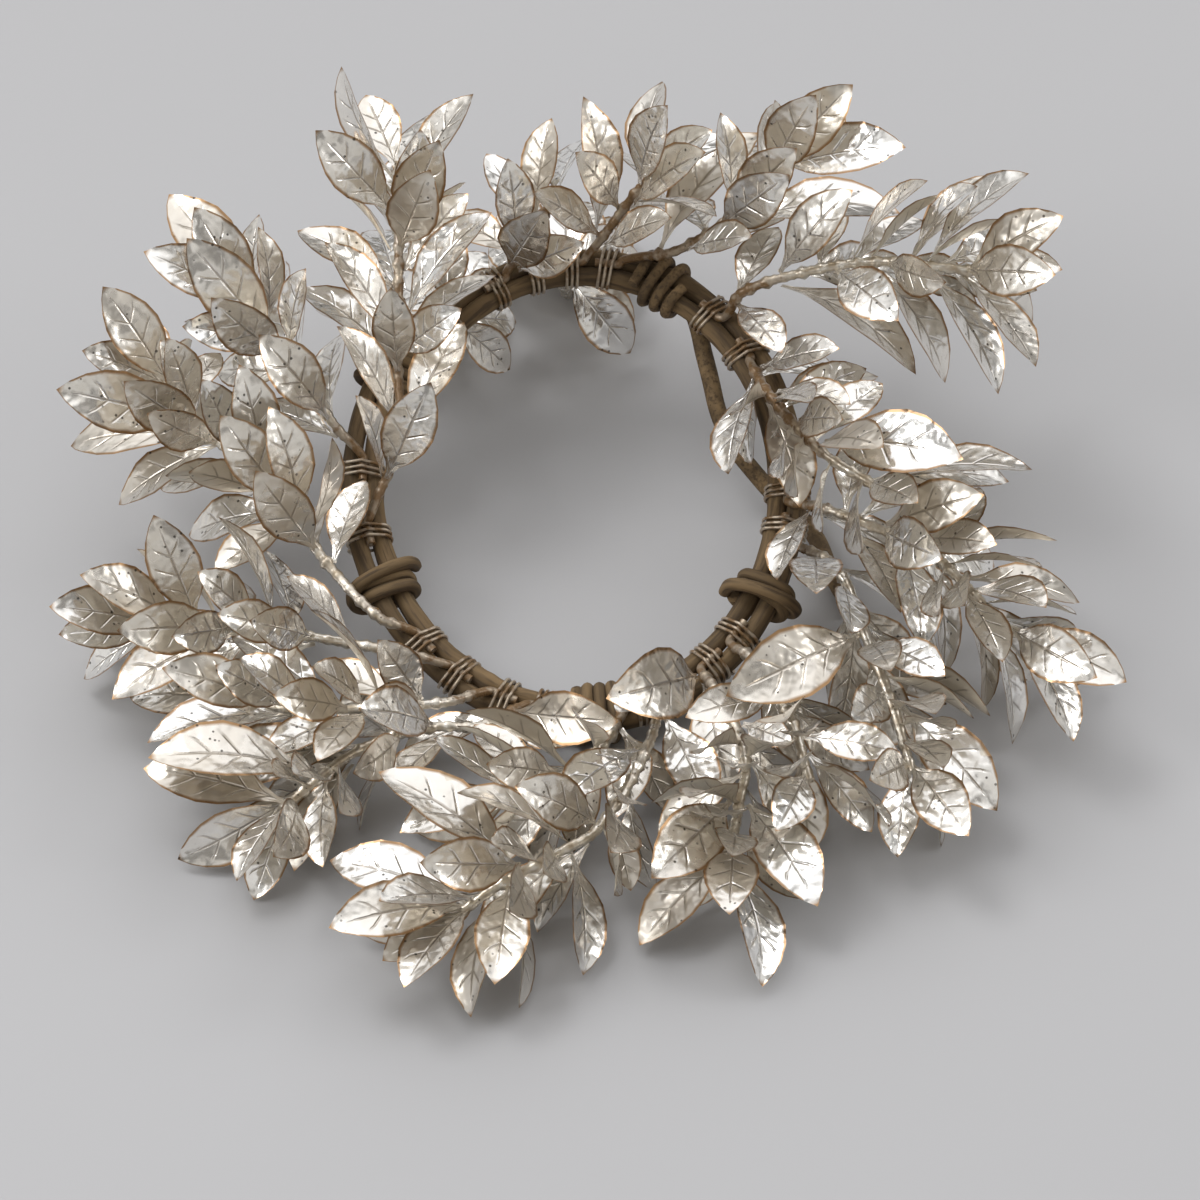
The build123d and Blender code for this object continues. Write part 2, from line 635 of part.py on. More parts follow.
class Space:
    """What has been placed so far, as points with a radius each, which new leaves keep clear of."""

    def __init__(self):
        self.points = np.zeros((0, 3))
        self.radii = np.zeros(0)
        self.shares = np.zeros(0)

    def add(self, points, radius, shares):
        self.points = np.vstack([self.points, points])
        self.radii = np.concatenate([self.radii, np.full(len(points), radius)])
        self.shares = np.concatenate([self.shares, np.broadcast_to(shares, len(points))])

    def margin(self, base, axes, shape, shares):
        """Least spare distance of a placed leaf to everything placed, the table and the free place."""
        local = (self.points - base) @ axes.T
        reach = 3.0 + self.radii.max()
        low = shape.min(axis=0) - reach
        high = shape.max(axis=0) + reach
        near = np.all((local > low) & (local < high), axis=1)
        placed = base + shape @ axes
        over_table = float(placed[:, 2].min()) - 2 * LEAF_THICKNESS
        from_axis = float(np.hypot(placed[:, 0], placed[:, 1]).min())
        spare = min(over_table, from_axis - FREE_DIAMETER / 2 - FREE_CLEARANCE)
        if near.any() and spare > 0:
            apart = np.linalg.norm(shape[:, None] - local[near][None], axis=2)
            least = np.minimum(shares[:, None], self.shares[near][None])
            wanted = self.radii[near][None] + 0.6 + 1.4 * np.minimum(least / 0.3, 1.0)
            spare = min(spare, float((apart - wanted).min()))
        return spare, placed


class Stem:
    """A stem's middle line, and the places along it of the collars that hold its leaves."""

    def __init__(self, points, tangents):
        self.samples = route_samples(points, tangents, 0.7)
        self.run = run_lengths(self.samples)
        self.length = self.run[-1]
        self.collars = []

    def point(self, where):
        return np.array([np.interp(where, self.run, self.samples[:, axis]) for axis in range(3)])

    def way(self, where):
        return unit(self.point(where + 0.7) - self.point(where - 0.7))

    def set_collars(self, space):
        """Collars sit one step apart from the tip down, where they clear the table, vine, knots and wires."""
        for where in np.arange(self.length - COLLAR_LENGTH / 2, 2 * FOOT_LENGTH, -COLLAR_STEP):
            place = self.point(where)
            apart = np.linalg.norm(space.points - place, axis=1) - space.radii
            if min(place[2], apart.min() - SEAT_CLEARANCE) > COLLAR_REACH:
                self.collars.append(where)


def clear_leaf(space, stem, where, at_tip, size, wishes, margin):
    """The first wished (along, face) at which a leaf of a collar is clear, or else the clearest one."""
    shape, shares = leaf_samples(*LEAF_SIZES[size])
    joint = stem.point(where)
    stem_way = stem.way(where)
    best = None
    for along, face in wishes:
        sideways = along - (along @ stem_way) * stem_way
        if not at_tip and np.linalg.norm(sideways) < 0.3:
            continue
        leaving = along if at_tip else unit(sideways)
        axes = np.stack([along, np.cross(face, along), face])
        corner = np.abs(axes[1] @ leaving) * STALK_WIDTH / 2 + np.abs(face @ leaving) * LEAF_THICKNESS
        base = joint + leaving * (COLLAR_REACH + LEAF_CLEARANCE + corner)
        spare, placed = space.margin(base, axes, shape, shares)
        if best is None or spare > best[0]:
            best = (spare, Plane(origin=tuple(base), x_dir=tuple(along), z_dir=tuple(face)), placed, shares)
        if spare > margin:
            break
    return best


def listed_wishes(clock, lean, roll):
    """Positions to try for a listed leaf, the wanted one first."""
    for clock_step in (0, 10, -10):
        for roll_step in (0, 20, -20, 40, -40):
            for lean_step in (0, 8, -8, 16, -16, 25, -25, 35, -35):
                yield seen_leaf(clock + clock_step, lean + lean_step, roll + roll_step)


def fill_wishes(stem_way, turn):
    """Positions to try for a filling leaf, the wanted one first."""
    for turn_step in (0, 25, -25, 50, -50):
        for opening_step in (0, 14, -12):
            yield fill_leaf(stem_way, turn + turn_step, FILL_OPENING + opening_step)


def save(shape, name):
    """Writes one named piece."""
    shape.label = name
    export_step(shape, f"parts/{name}.step", write_pcurves=False)


def save_group(shapes, name):
    """Writes a node of like pieces, each a solid of its own."""
    save(Compound([solid for shape in shapes for solid in shape.solids()]), name)


os.makedirs("parts", exist_ok=True)
space = Space()

coil_points, coil_tangents = coil_route()
print("vine_coil gap to itself", least_gap(coil_points, coil_tangents, VINE_RADIUS))
space.add(route_samples(coil_points, coil_tangents), VINE_RADIUS, 1.0)
with BuildPart() as vine_coil:
    add(tube(coil_points, coil_tangents, VINE_RADIUS))
save(vine_coil.part, "vine_coil")

spur_points, spur_tangents = seated_route(KNOTS[SPUR_KNOT], True, VINE_RADIUS, SPUR_FOOT, SPUR_ROUTE)
space.add(route_samples(spur_points, spur_tangents), VINE_RADIUS, 1.0)
with BuildPart() as vine_spur:
    add(tube(spur_points, spur_tangents, VINE_RADIUS))
    split(bisect_by=Plane.XY, keep=Keep.TOP)
save(vine_spur.part, "vine_spur")

for knot_name, angle in KNOTS.items():
    held_below = VINE_RADIUS if knot_name == SPUR_KNOT else None
    points, tangents = winding(angle, bundle(angle, below=held_below), KNOT_RADIUS, KNOT_TURNS, KNOT_GAP)
    print(knot_name, "gap to itself", least_gap(points, tangents, KNOT_RADIUS))
    space.add(route_samples(points, tangents), KNOT_RADIUS, 1.0)
    with BuildPart() as knot:
        add(tube(points, tangents, KNOT_RADIUS))
        split(bisect_by=Plane.XY, keep=Keep.TOP)
    save(knot.part, knot_name)

ties = []
for spray in SPRAYS:
    hangs = spray.route[0][2] < 0
    held = bundle(spray.angle, below=STEM_RADIUS) if hangs else bundle(spray.angle, above=STEM_RADIUS)
    points, tangents = winding(spray.angle, held, TIE_RADIUS, TIE_TURNS, TIE_GAP)
    space.add(route_samples(points, tangents), TIE_RADIUS, 1.0)
    ties.append(tube(points, tangents, TIE_RADIUS))
print("binding wire gap to itself", least_gap(points, tangents, TIE_RADIUS))
save_group(ties, "binding_wires")

cores = []
stems = {}
for spray in SPRAYS:
    hangs = spray.route[0][2] < 0
    route = seated_route(spray.angle, hangs, STEM_RADIUS, FOOT_LENGTH, spray.route)
    cores.append(tube(*route, CORE_DIAMETER / 2))
    with BuildPart() as twig:
        add(tube(*route, STEM_RADIUS, bore=CORE_DIAMETER / 2 + CORE_CLEARANCE))
    save(twig.part, f"{spray.name}_stem")
    stems[spray.name] = Stem(*route)
    stems[spray.name].set_collars(space)
save_group(cores, "core_wires")

with BuildPart() as collar:
    with BuildSketch():
        RegularPolygon(COLLAR_RADIUS, COLLAR_SIDES)
        RegularPolygon(COLLAR_BORE, COLLAR_SIDES, major_radius=False, mode=Mode.SUBTRACT)
    extrude(amount=COLLAR_LENGTH / 2, both=True)
collars = []
for stem in stems.values():
    space.add(stem.samples, STEM_RADIUS, 1.0)
    for where in stem.collars:
        place = Plane(origin=tuple(stem.point(where)), z_dir=tuple(stem.way(where)))
        collars.append(place.location * collar.part)
        space.add(stem.point(where)[None, :], COLLAR_REACH, 1.0)
save_group(collars, "leaf_collars")

leaves = {spray.name: [] for spray in SPRAYS}
for spray in SPRAYS:
    stem = stems[spray.name]
    for share, clock, size, lean, roll in spray.leaves:
        where = min(stem.collars, key=lambda place: abs(place - share * stem.length))
        wishes = listed_wishes(clock, lean, roll)
        spare, place, points, shares = clear_leaf(space, stem, where, share == 1.0, size, wishes, 0.0)
        if spare > 0:
            space.add(points, 0.0, shares)
            leaves[spray.name].append((size, place))
        else:
            print("no room for a leaf of", spray.name, share, clock, size, round(spare, 2))
for spray in SPRAYS:
    stem = stems[spray.name]
    outer = [where for where in stem.collars if where > FILL_START * stem.length]
    for index, where in enumerate(outer):
        size = "s" if index % 3 else "m"
        for opposite in (0, 180):
            wishes = fill_wishes(stem.way(where), FILL_TURN * index + opposite)
            spare, place, points, shares = clear_leaf(space, stem, where, False, size, wishes, FILL_MARGIN)
            if spare > FILL_MARGIN:
                space.add(points, 0.0, shares)
                leaves[spray.name].append((size, place))

blades = {size: leaf_blade(length, width) for size, (length, width) in LEAF_SIZES.items()}
for name, placed in leaves.items():
    save_group([place.location * blades[size] for size, place in placed], f"{name}_leaves")
print("collars", len(collars), "leaves", sum(len(placed) for placed in leaves.values()))
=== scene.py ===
"""Candle ring: the looks of a leaning vine ring dressed with wired sprays of silver leaves.

Metres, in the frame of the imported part: the origin is the middle of the ring's free place on the
floor, +X is to the right, +Y points away from the viewer and +Z is up.
"""

import math

import bpy
import numpy as np
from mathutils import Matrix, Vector

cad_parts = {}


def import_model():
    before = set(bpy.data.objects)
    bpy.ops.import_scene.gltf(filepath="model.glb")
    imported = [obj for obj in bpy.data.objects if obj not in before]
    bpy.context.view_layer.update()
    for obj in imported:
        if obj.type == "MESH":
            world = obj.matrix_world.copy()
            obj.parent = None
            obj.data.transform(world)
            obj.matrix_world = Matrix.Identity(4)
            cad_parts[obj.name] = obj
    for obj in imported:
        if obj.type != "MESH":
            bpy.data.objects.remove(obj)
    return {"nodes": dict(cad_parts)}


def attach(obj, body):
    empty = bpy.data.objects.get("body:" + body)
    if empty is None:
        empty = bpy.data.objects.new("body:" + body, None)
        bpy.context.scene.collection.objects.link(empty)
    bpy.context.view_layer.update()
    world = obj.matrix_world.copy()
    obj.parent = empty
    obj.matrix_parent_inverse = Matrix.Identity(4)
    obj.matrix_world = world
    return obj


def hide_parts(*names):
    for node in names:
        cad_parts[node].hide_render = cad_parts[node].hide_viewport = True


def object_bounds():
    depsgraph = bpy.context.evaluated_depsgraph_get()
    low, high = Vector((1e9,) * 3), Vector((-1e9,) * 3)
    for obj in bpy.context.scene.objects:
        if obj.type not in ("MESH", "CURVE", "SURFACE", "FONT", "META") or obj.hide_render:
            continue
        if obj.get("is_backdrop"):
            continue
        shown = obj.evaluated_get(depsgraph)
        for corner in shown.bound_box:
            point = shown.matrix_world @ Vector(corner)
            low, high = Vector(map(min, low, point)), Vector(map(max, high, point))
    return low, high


MM = 0.001
SHARP_EDGE = math.radians(70.0)
WELD_DIGITS = 6
ANY_PHASE = 6.3

# Leaves: width by length in millimetres
LEAF_WIDTHS = {46: 21.0 * MM, 40: 18.2 * MM, 34: 15.8 * MM, 27: 13.0 * MM, 19: 9.6 * MM}
LEAF_THICKNESS = 0.45 * MM
LEAF_ARCH_RADIUS = 62.0 * MM
LEAF_FOLD = math.radians(14.0)
FOLD_ROUNDING = 0.6 * MM
BASE_TAPER = 1.0
TIP_TAPER = 0.9
LEAF_STATIONS = 10
LEAF_COLUMNS = 5
LEAF_END_SLICE = 0.3 * MM

# Stalks: their share of the leaf's length, their reach past its foot, and how they merge into it
STALK_WIDTH = 1.7 * MM
STALK_SHARE = 0.1
STALK_REACH = 1.9 * MM
STALK_FULLNESS = 1.2
STALK_FADE = 2.2

# What differs from leaf to leaf
TWIST_SPREAD = math.radians(11.0)
CURL_SPREAD = 2.2 * MM
FULL_CURL_SIZE = 40
SPREAD_SHARE = 0.5
WAVE_HEIGHT = 0.35 * MM
WAVE_SHARES = (0.2, 1.0)
WAVE_RATE = 15.0
WAVE_SIDE_SHIFT = 1.7

# Swollen joints of the stems
STEM_RADIUS = 1.3 * MM
JOINT_FIT = 0.97
JOINT_SWELL = 0.95 * MM
JOINT_SHARES = (0.3, 1.05)
JOINT_HUMP = 1.25 * MM
JOINT_HALF_LENGTH = 3.4 * MM
JOINT_CORNERS = 3
CORNER_SHARE = 0.22
JOINT_ROWS = 9
JOINT_SIDES = 9
JOINT_GUIDE = np.array([0.3, 0.2, 1.0])
JOINT_SEED = 5
WIRE_RING_SWELL = 0.3 * MM
WIRE_RING_PLACE = 2.5 * MM
WIRE_RING_WIDTH = 0.5 * MM

# Ring of vine
RING_CENTRE = np.array([-4.0, 25.0, 28.4]) * MM
RING_WIDTH = 122.0 * MM
RING_LENGTH = 151.0 * MM
RING_TILT = math.radians(16.5)
RING_ACROSS = np.array([1.0, 0.0, 0.0])
RING_BACK = np.array([0.0, math.cos(RING_TILT), math.sin(RING_TILT)])
RING_UP = np.array([0.0, -math.sin(RING_TILT), math.cos(RING_TILT)])
VINE_RADIUS = 2.85 * MM
VINE_SEED = 11
STRAND_PITCH = 6.0 * MM
COIL_START = 150.0
COIL_OVERLAP = 6.0
COIL_END_EXTRA = 4.0
WANDER = 0.35 * MM
WANDER_RATE = 3.3
WANDER_START = 1.0
RISE = 0.5 * MM
RISE_RATE = 2.6

# Bark: slow swells (lengths in millimetres), ridges that drift round the rod, and knobs
BARK_STATIONS = 900
BARK_SIDES = 24
BARK_GUIDE = np.array([0.0, 0.0, 1.0])
SWELL_COUNT = 5
SWELL_LENGTHS = (18.0, 60.0)
SWELL_SHARE = 0.022
RIDGE_COUNTS = (3, 5, 7, 9)
RIDGE_SHARE = 0.021
RIDGE_DRIFT = 25.0
DRIFT_RUN = 0.1
KNOB_SPACING = 0.035
KNOB_SHARE = 0.10
KNOB_LENGTH = 1.6 * MM
FIBRE_SHARE = 0.12

# Knots: name, angle round the ring and whether the end crosses back over the turns
KNOTS = (
    ("left_knot", 207.0, True),
    ("front_knot", 272.6, False),
    ("right_knot", 330.0, True),
    ("end_knot", 150.0, False),
)
KNOT_RADIUS = 1.9 * MM
KNOT_SNUGNESS = 0.9
KNOT_PITCH = 3.9 * MM
KNOT_TURNS = 3
KNOT_STEPS = 40
KNOT_SIDES = 14
STRAND_SLIDE = 1.6
CROSSING_RISE = 1.5
CROSSING_HASTE = 2.5
CROSSING_RETURN = 3.0

# Binding wires
WIRE_RADIUS = 0.5 * MM
WIRE_STAND_OFF = 0.62 * MM
WIRE_PITCH = 1.8 * MM
WIRE_TURNS = 3
WIRE_STEPS = 36
WIRE_SIDES = 8
WIRE_SEED = 3
SEAT_HEIGHT = 2.94 * MM
NEAREST_STEPS = 6

# Kinds of socket, the colour sockets of a Mix node, and the range of a value that falls
NUMBER = "NodeSocketFloat"
VECTOR = "NodeSocketVector"
COLOUR = "NodeSocketColor"
MIX_INPUTS = (6, 7)
MIX_OUTPUT = 2
FALLING = (1.0, 0.0)

# Leaf finish: colours, noises as scale and detail, reliefs as strength and depth
LEAF_TOP = {
    "pale": (0.98, 0.97, 0.945),
    "deep": (0.76, 0.705, 0.62),
    "rim": (0.33, 0.175, 0.06),
    "roughness": 0.19,
    "metallic": 0.92,
}
LEAF_UNDERSIDE = {
    "pale": (0.90, 0.86, 0.77),
    "deep": (0.65, 0.58, 0.47),
    "rim": (0.30, 0.17, 0.07),
    "roughness": 0.36,
    "metallic": 0.7,
}
# Painted shade: the dark brown that the vein grooves are darkened towards, and how far
LEAF_GROOVE_SHADE = (0.2, 0.15, 0.1)
LEAF_SPECK = (0.05, 0.04, 0.03)
LEAF_SPECKS = {"Scale": 300.0, "Amount": 0.85}
LEAF_CLOUD = (140.0, 3.0)
LEAF_CRUMPLE = (230.0, 1.0)
LEAF_RELIEF = (0.55, 0.45 * MM)
LEAF_TONES = (0.2, 0.85)
TONE_SHARE = 0.6
CLOUD_SHARE = 0.5
GROOVE_SHADE_SHARE = 0.55
RIM_SHARE = 0.9
CLOUD_HEIGHT = 0.5
CRUMPLE_HEIGHT = 2.6
GLOSS_TONES = (0.2, 0.9)
DEEP_ROUGHER = 0.12
PALE_SMOOTHER = 0.04

# Specks: from the middle to the edge of one, and the noise that gathers them in patches
SPECK_EDGE = (0.10, 0.15)
SPECK_PATCH = (70.0, 2.0)
PATCH_EDGE = (0.41, 0.49)

# Veins and rim, in shares of the leaf's length and of its half width
VEIN_PAIRS = 5.5
VEIN_SLANT = 0.2
VEIN_EDGE = (0.02, 0.09)
VEIN_OUTER_END = (0.5, 0.78)
VEIN_LAST = (0.72, 0.82)
VEIN_DEPTH = 0.8
MIDRIB_EDGE = (0.015, 0.07)
MIDRIB_END = (0.78, 0.9)
PILLOW_HEIGHT = 0.5
RIM_SIDE = (0.84, 0.93)
RIM_TIP = (0.95, 0.985)
RIM_FOOT = (0.12, 0.25)

# Stem and wire finish: each pair runs from the deep to the pale silver, or from bright to worn
STEM_DEEP = (0.51, 0.425, 0.315)
STEM_PALE = (0.91, 0.88, 0.81)
STEM_WORN = (0.2, 0.12, 0.055)
STEM_SPECK = (0.08, 0.055, 0.035)
STEM_SPECKS = {"Scale": 420.0, "Amount": 0.8}
STEM_CLOUD = (300.0, 3.0)
STEM_TONES = (0.3, 0.7)
STEM_ROUGHNESS = (0.42, 0.24)
STEM_METAL = (0.95, 0.15)
STEM_RELIEF = (0.5, 0.4 * MM)
STEM_WEAR = 0.55
WIRE_WEAR = 0.48
WEAR_REACH = (1.05, 1.4)
WEAR_EDGE = (0.3, 0.55)

# Bark finish
BARK_DARK = (0.084, 0.053, 0.023)
BARK_PALE = (0.230, 0.151, 0.072)
BARK_CRACK = (0.050, 0.031, 0.016)
BARK_COARSE = (160.0, 4.0)
BARK_FINE = (900.0, 3.0)
BARK_TONES = (0.35, 0.65)
CRACK_EDGE = (0.48, 0.66)
CRACK_SHARES = (0.0, 0.75)
FINE_HEIGHT = 0.5
BARK_ROUGHNESS = 0.82
BARK_RELIEF = (0.7, 0.5 * MM)

# Floor
FLOOR_REACH = 5.0
FLOOR_GREY = (0.455, 0.455, 0.465, 1.0)
FLOOR_ROUGHNESS = 0.6
FLOOR_GLOSS = 0.2

# Sky: brightest above and behind the ring, with soft darker gaps for the silver to mirror
SKY_BRIGHT_WAY = (0.0, 0.5, 0.866)
SKY_STRENGTH = 0.8
SKY_LOW = (0.70, 0.68, 0.65)
SKY_HIGH = (1.14, 1.13, 1.12)
SKY_FADE = (-0.1, 0.9)
SKY_GAP = (0.23, 0.22, 0.205)
GAP_NOISE = (2.2, 0.0)
GAP_EDGE = (0.42, 0.56)
SKY_PATCH = (1.55, 1.55, 1.57)
SKY_PATCH_EDGE = (0.72, 0.86)

# Lamps: name, kind, energy, position and breadth
LAMPS = (
    ("key", "SUN", 0.66, (-0.9, 0.7, 2.0), {"angle": math.radians(22)}),
    ("left_panel", "AREA", 6.2, (-1.1, -0.2, 0.9), {"size": 0.8}),
    ("right_panel", "AREA", 3.5, (1.2, 0.1, 0.8), {"size": 0.6}),
)

# Camera: the photograph's frame is 1200 pixels wide, 3.42 of them to a millimetre at the origin
FRAME_PIXELS = 1200
PIXELS_PER_MM = 3.42
FOCAL_PIXELS = 7500.0
VIEW_HEIGHT = math.radians(45.0)
VIEW_REACH = 20.0
ORIGIN_PIXEL = (594, 612)
SENSOR_WIDTH = 36.0


def write_sizes(name, store):
    """Keeps the shown object's lowest and highest corner under a name."""
    low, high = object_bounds()
    store[name] = [list(map(float, low)), list(map(float, high))]


# Meshes


def unit(vectors):
    """Vectors scaled to length one along their last axis."""
    return vectors / np.linalg.norm(vectors, axis=-1, keepdims=True)


def mesh_piece(
    name, points, faces, materials, slot_name, cad_node, attributes=None, uv=None, kinds=None
):
    """A shown piece from points and faces, in place of a CAD node.

    It may have point attributes, a UV map by point and the number of the material of each face.
    """
    mesh = bpy.data.meshes.new(name)
    mesh.from_pydata(points.tolist(), [], faces)
    for key, values in (attributes or {}).items():
        kind, field = ("FLOAT_VECTOR", "vector") if values.ndim == 2 else ("FLOAT", "value")
        layer = mesh.attributes.new(key, kind, "POINT")
        layer.data.foreach_set(field, values.astype(np.float32).ravel())
    if uv is not None:
        corners = np.zeros(len(mesh.loops), np.int32)
        mesh.loops.foreach_get("vertex_index", corners)
        layer = mesh.uv_layers.new(name="surface")
        layer.data.foreach_set("uv", uv[corners].astype(np.float32).ravel())
    for material in materials:
        mesh.materials.append(material)
    if kinds is not None:
        mesh.polygons.foreach_set("material_index", np.asarray(kinds, np.int32))
    mesh.polygons.foreach_set("use_smooth", np.ones(len(mesh.polygons), bool))
    mesh.set_sharp_from_angle(angle=SHARP_EDGE)
    mesh.update()
    piece = bpy.data.objects.new(name, mesh)
    bpy.context.scene.collection.objects.link(piece)
    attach(piece, "root")
    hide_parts(cad_node)


def grid_quads(rows, columns, wrap=False):
    """Corner numbers of the quads of a grid, closed round the columns where it wraps."""
    last = columns if wrap else columns - 1
    row, column = np.meshgrid(np.arange(rows - 1), np.arange(last), indexing="ij")
    here, ahead = row * columns, (row + 1) * columns
    after = (column + 1) % columns
    corners = [here + column, here + after, ahead + after, ahead + column]
    return np.stack(corners, axis=-1).reshape(-1, 4)


def rings_round(middles, reach, turn, level, upright):
    """Grid of rings: middle + reach * (cos(turn) * level + sin(turn) * upright)."""
    outward = np.cos(turn)[..., None] * level + np.sin(turn)[..., None] * upright
    return middles + reach[..., None] * outward


def closed_tube(grid):
    """Points and faces of a grid of rings, each end closed by a fan of triangles to its middle."""
    rows, sides = grid.shape[:2]
    points = np.vstack([grid.reshape(-1, 3), grid[0].mean(axis=0), grid[-1].mean(axis=0)])
    ring = np.arange(sides)
    after = np.roll(ring, -1)
    first = np.stack([after, ring, np.full(sides, rows * sides)], axis=1)
    last = np.stack([ring, after, np.full(sides, sides + 1)], axis=1) + (rows - 1) * sides
    return points, grid_quads(rows, sides, wrap=True).tolist() + first.tolist() + last.tolist()


def joined(shapes):
    """Points and faces of several shapes as one, each shape's points counted on from the last."""
    points, faces, count = [], [], 0
    for shape_points, shape_faces in shapes:
        faces += [[corner + count for corner in face] for face in shape_faces]
        points.append(shape_points)
        count += len(shape_points)
    return np.vstack(points), faces


def solid_parts(node):
    """Points of each solid of a CAD node, as a list of arrays.

    Vertices at one place are welded, then every vertex takes the least number in its triangles
    until none changes. Those with the same number belong to one solid.
    """
    mesh = node.data
    places = np.zeros(len(mesh.vertices) * 3, np.float32)
    mesh.vertices.foreach_get("co", places)
    corners = np.zeros(len(mesh.loops), np.int32)
    mesh.loops.foreach_get("vertex_index", corners)
    rounded = np.round(places.reshape(-1, 3), WELD_DIGITS)
    keys, welded = np.unique(rounded, axis=0, return_inverse=True)
    triangles = welded.ravel()[corners].reshape(-1, 3)
    labels = np.arange(len(keys))
    while True:
        before = labels.copy()
        least = labels[triangles].min(axis=1)
        for corner in range(3):
            np.minimum.at(labels, triangles[:, corner], least)
        labels = labels[labels]
        if np.array_equal(before, labels):
            break
    return [keys[labels == label].astype(float) for label in np.unique(labels)]


# Leaves


def leaf_frame(points):
    """Base point, axes (along, across, face) and length of one CAD leaf.

    The longest axis runs from the broad stalk end to the sharp tip. The face is the side that the
    fold opens to, found by fitting height = a + b * along squared + c * |across|.
    """
    middle = points.mean(axis=0)
    axes = np.linalg.eigh(np.cov((points - middle).T))[1]
    broad = axes[:, 1]
    run = (points - middle) @ axes[:, 2]
    near, far = run < run.min() + LEAF_END_SLICE, run > run.max() - LEAF_END_SLICE
    ends = [points[near], points[far]]
    breadths = [np.ptp(end @ broad) for end in ends]
    base, tip = ends if breadths[0] > breadths[1] else ends[::-1]
    base_point = base.mean(axis=0)
    reach = tip.mean(axis=0) - base_point
    along = unit(reach)
    length = np.linalg.norm(reach)
    across = unit(broad - (broad @ along) * along)
    face = np.cross(along, across)
    local = (points - base_point) @ np.stack([along, across, face]).T
    bend = (local[:, 0] - length / 2) ** 2
    fit = np.stack([np.ones(len(local)), bend, np.abs(local[:, 1])], axis=1)
    fold = np.linalg.lstsq(fit, local[:, 2], rcond=None)[0][2]
    if fold < 0:
        across, face = -across, -face
    return base_point, np.stack([along, across, face]), length


def leaf_surface(length, width, twist, curl, wave):
    """Top surface of a leaf over (share of length, side from -1 to 1), and its map.

    The surface is (along, across, height), with stations closer together at the foot and the tip.
    Half width: share ** b * (1 - share) ** t, scaled to the width, never less than the stalk near
    the foot. Height: an arch of a set radius, plus a rounded fold sqrt(across squared + r squared)
    - r, a curl with the cube of the share, and waves along the rim. A twist turns each
    cross-section in proportion to the share.
    """
    even = np.linspace(0.0, 1.0, LEAF_STATIONS)
    share = 0.5 * even + 0.25 * (1.0 - np.cos(math.pi * even))
    side = np.linspace(-1.0, 1.0, LEAF_COLUMNS)
    share, side = np.meshgrid(share, side, indexing="ij")
    blade = np.clip((share - STALK_SHARE) / (1.0 - STALK_SHARE), 0.0, 1.0)
    widest = BASE_TAPER / (BASE_TAPER + TIP_TAPER)
    peak = widest**BASE_TAPER * (1.0 - widest) ** TIP_TAPER
    half = width / 2 * blade**BASE_TAPER * (1.0 - blade) ** TIP_TAPER / peak
    stalk = STALK_WIDTH / 2 * np.clip(STALK_FULLNESS - STALK_FADE * share, 0.0, 1.0)
    half = np.maximum(half, stalk)
    along = share * (length + STALK_REACH) - STALK_REACH
    across = side * half
    sag = LEAF_ARCH_RADIUS - math.sqrt(LEAF_ARCH_RADIUS**2 - length**2 / 4)
    height = np.sqrt(LEAF_ARCH_RADIUS**2 - (along - length / 2) ** 2) - LEAF_ARCH_RADIUS + sag
    fold = np.sqrt(across**2 + FOLD_ROUNDING**2) - FOLD_ROUNDING
    height = height + math.tan(LEAF_FOLD) * fold
    ripple = np.sin(share * WAVE_RATE + WAVE_SIDE_SHIFT * np.sign(side) + curl / MM)
    height = height + curl * share**3 + wave * np.abs(side) ** 3 * ripple
    cosine, sine = np.cos(twist * share), np.sin(twist * share)
    turned = [along, across * cosine - height * sine, across * sine + height * cosine]
    return np.stack(turned, axis=-1), np.stack([share, 0.5 + side / 2], axis=-1)


def leaf_numbers():
    """Point numbers of the top and underside of a leaf, which share rim, foot and one tip point."""
    rows, columns = LEAF_STATIONS - 1, LEAF_COLUMNS
    top = np.full((LEAF_STATIONS, columns), rows * columns)
    top[:rows] = np.arange(rows * columns).reshape(rows, columns)
    under = top.copy()
    inner = np.arange((rows - 1) * (columns - 2)).reshape(rows - 1, columns - 2)
    under[1:rows, 1:-1] = rows * columns + 1 + inner
    return top, under


def leaf_faces(top, under):
    """Quads and tip triangles of one leaf, the top first, and the number of each one's material."""
    faces, kinds = [], []
    for kind, numbers in enumerate((top[:, ::-1], under)):
        quads = grid_quads(LEAF_STATIONS - 1, LEAF_COLUMNS)
        faces += numbers[:-1].ravel()[quads].tolist()
        tips = np.stack([numbers[-2, :-1], numbers[-2, 1:], numbers[-1, 1:]], axis=1)
        faces += tips.tolist()
        kinds += [kind] * (len(quads) + len(tips))
    return faces, kinds


def leaf_points(top, under, surface):
    """Values of a leaf's points in the order of their numbers, from the grid of its top.

    Where the values are places, the underside lies a thickness lower.
    """
    points = np.zeros((under.max() + 1, surface.shape[-1]))
    lower = surface.copy()
    lower[..., 2:] -= LEAF_THICKNESS
    points[under] = lower
    points[top] = surface
    return points


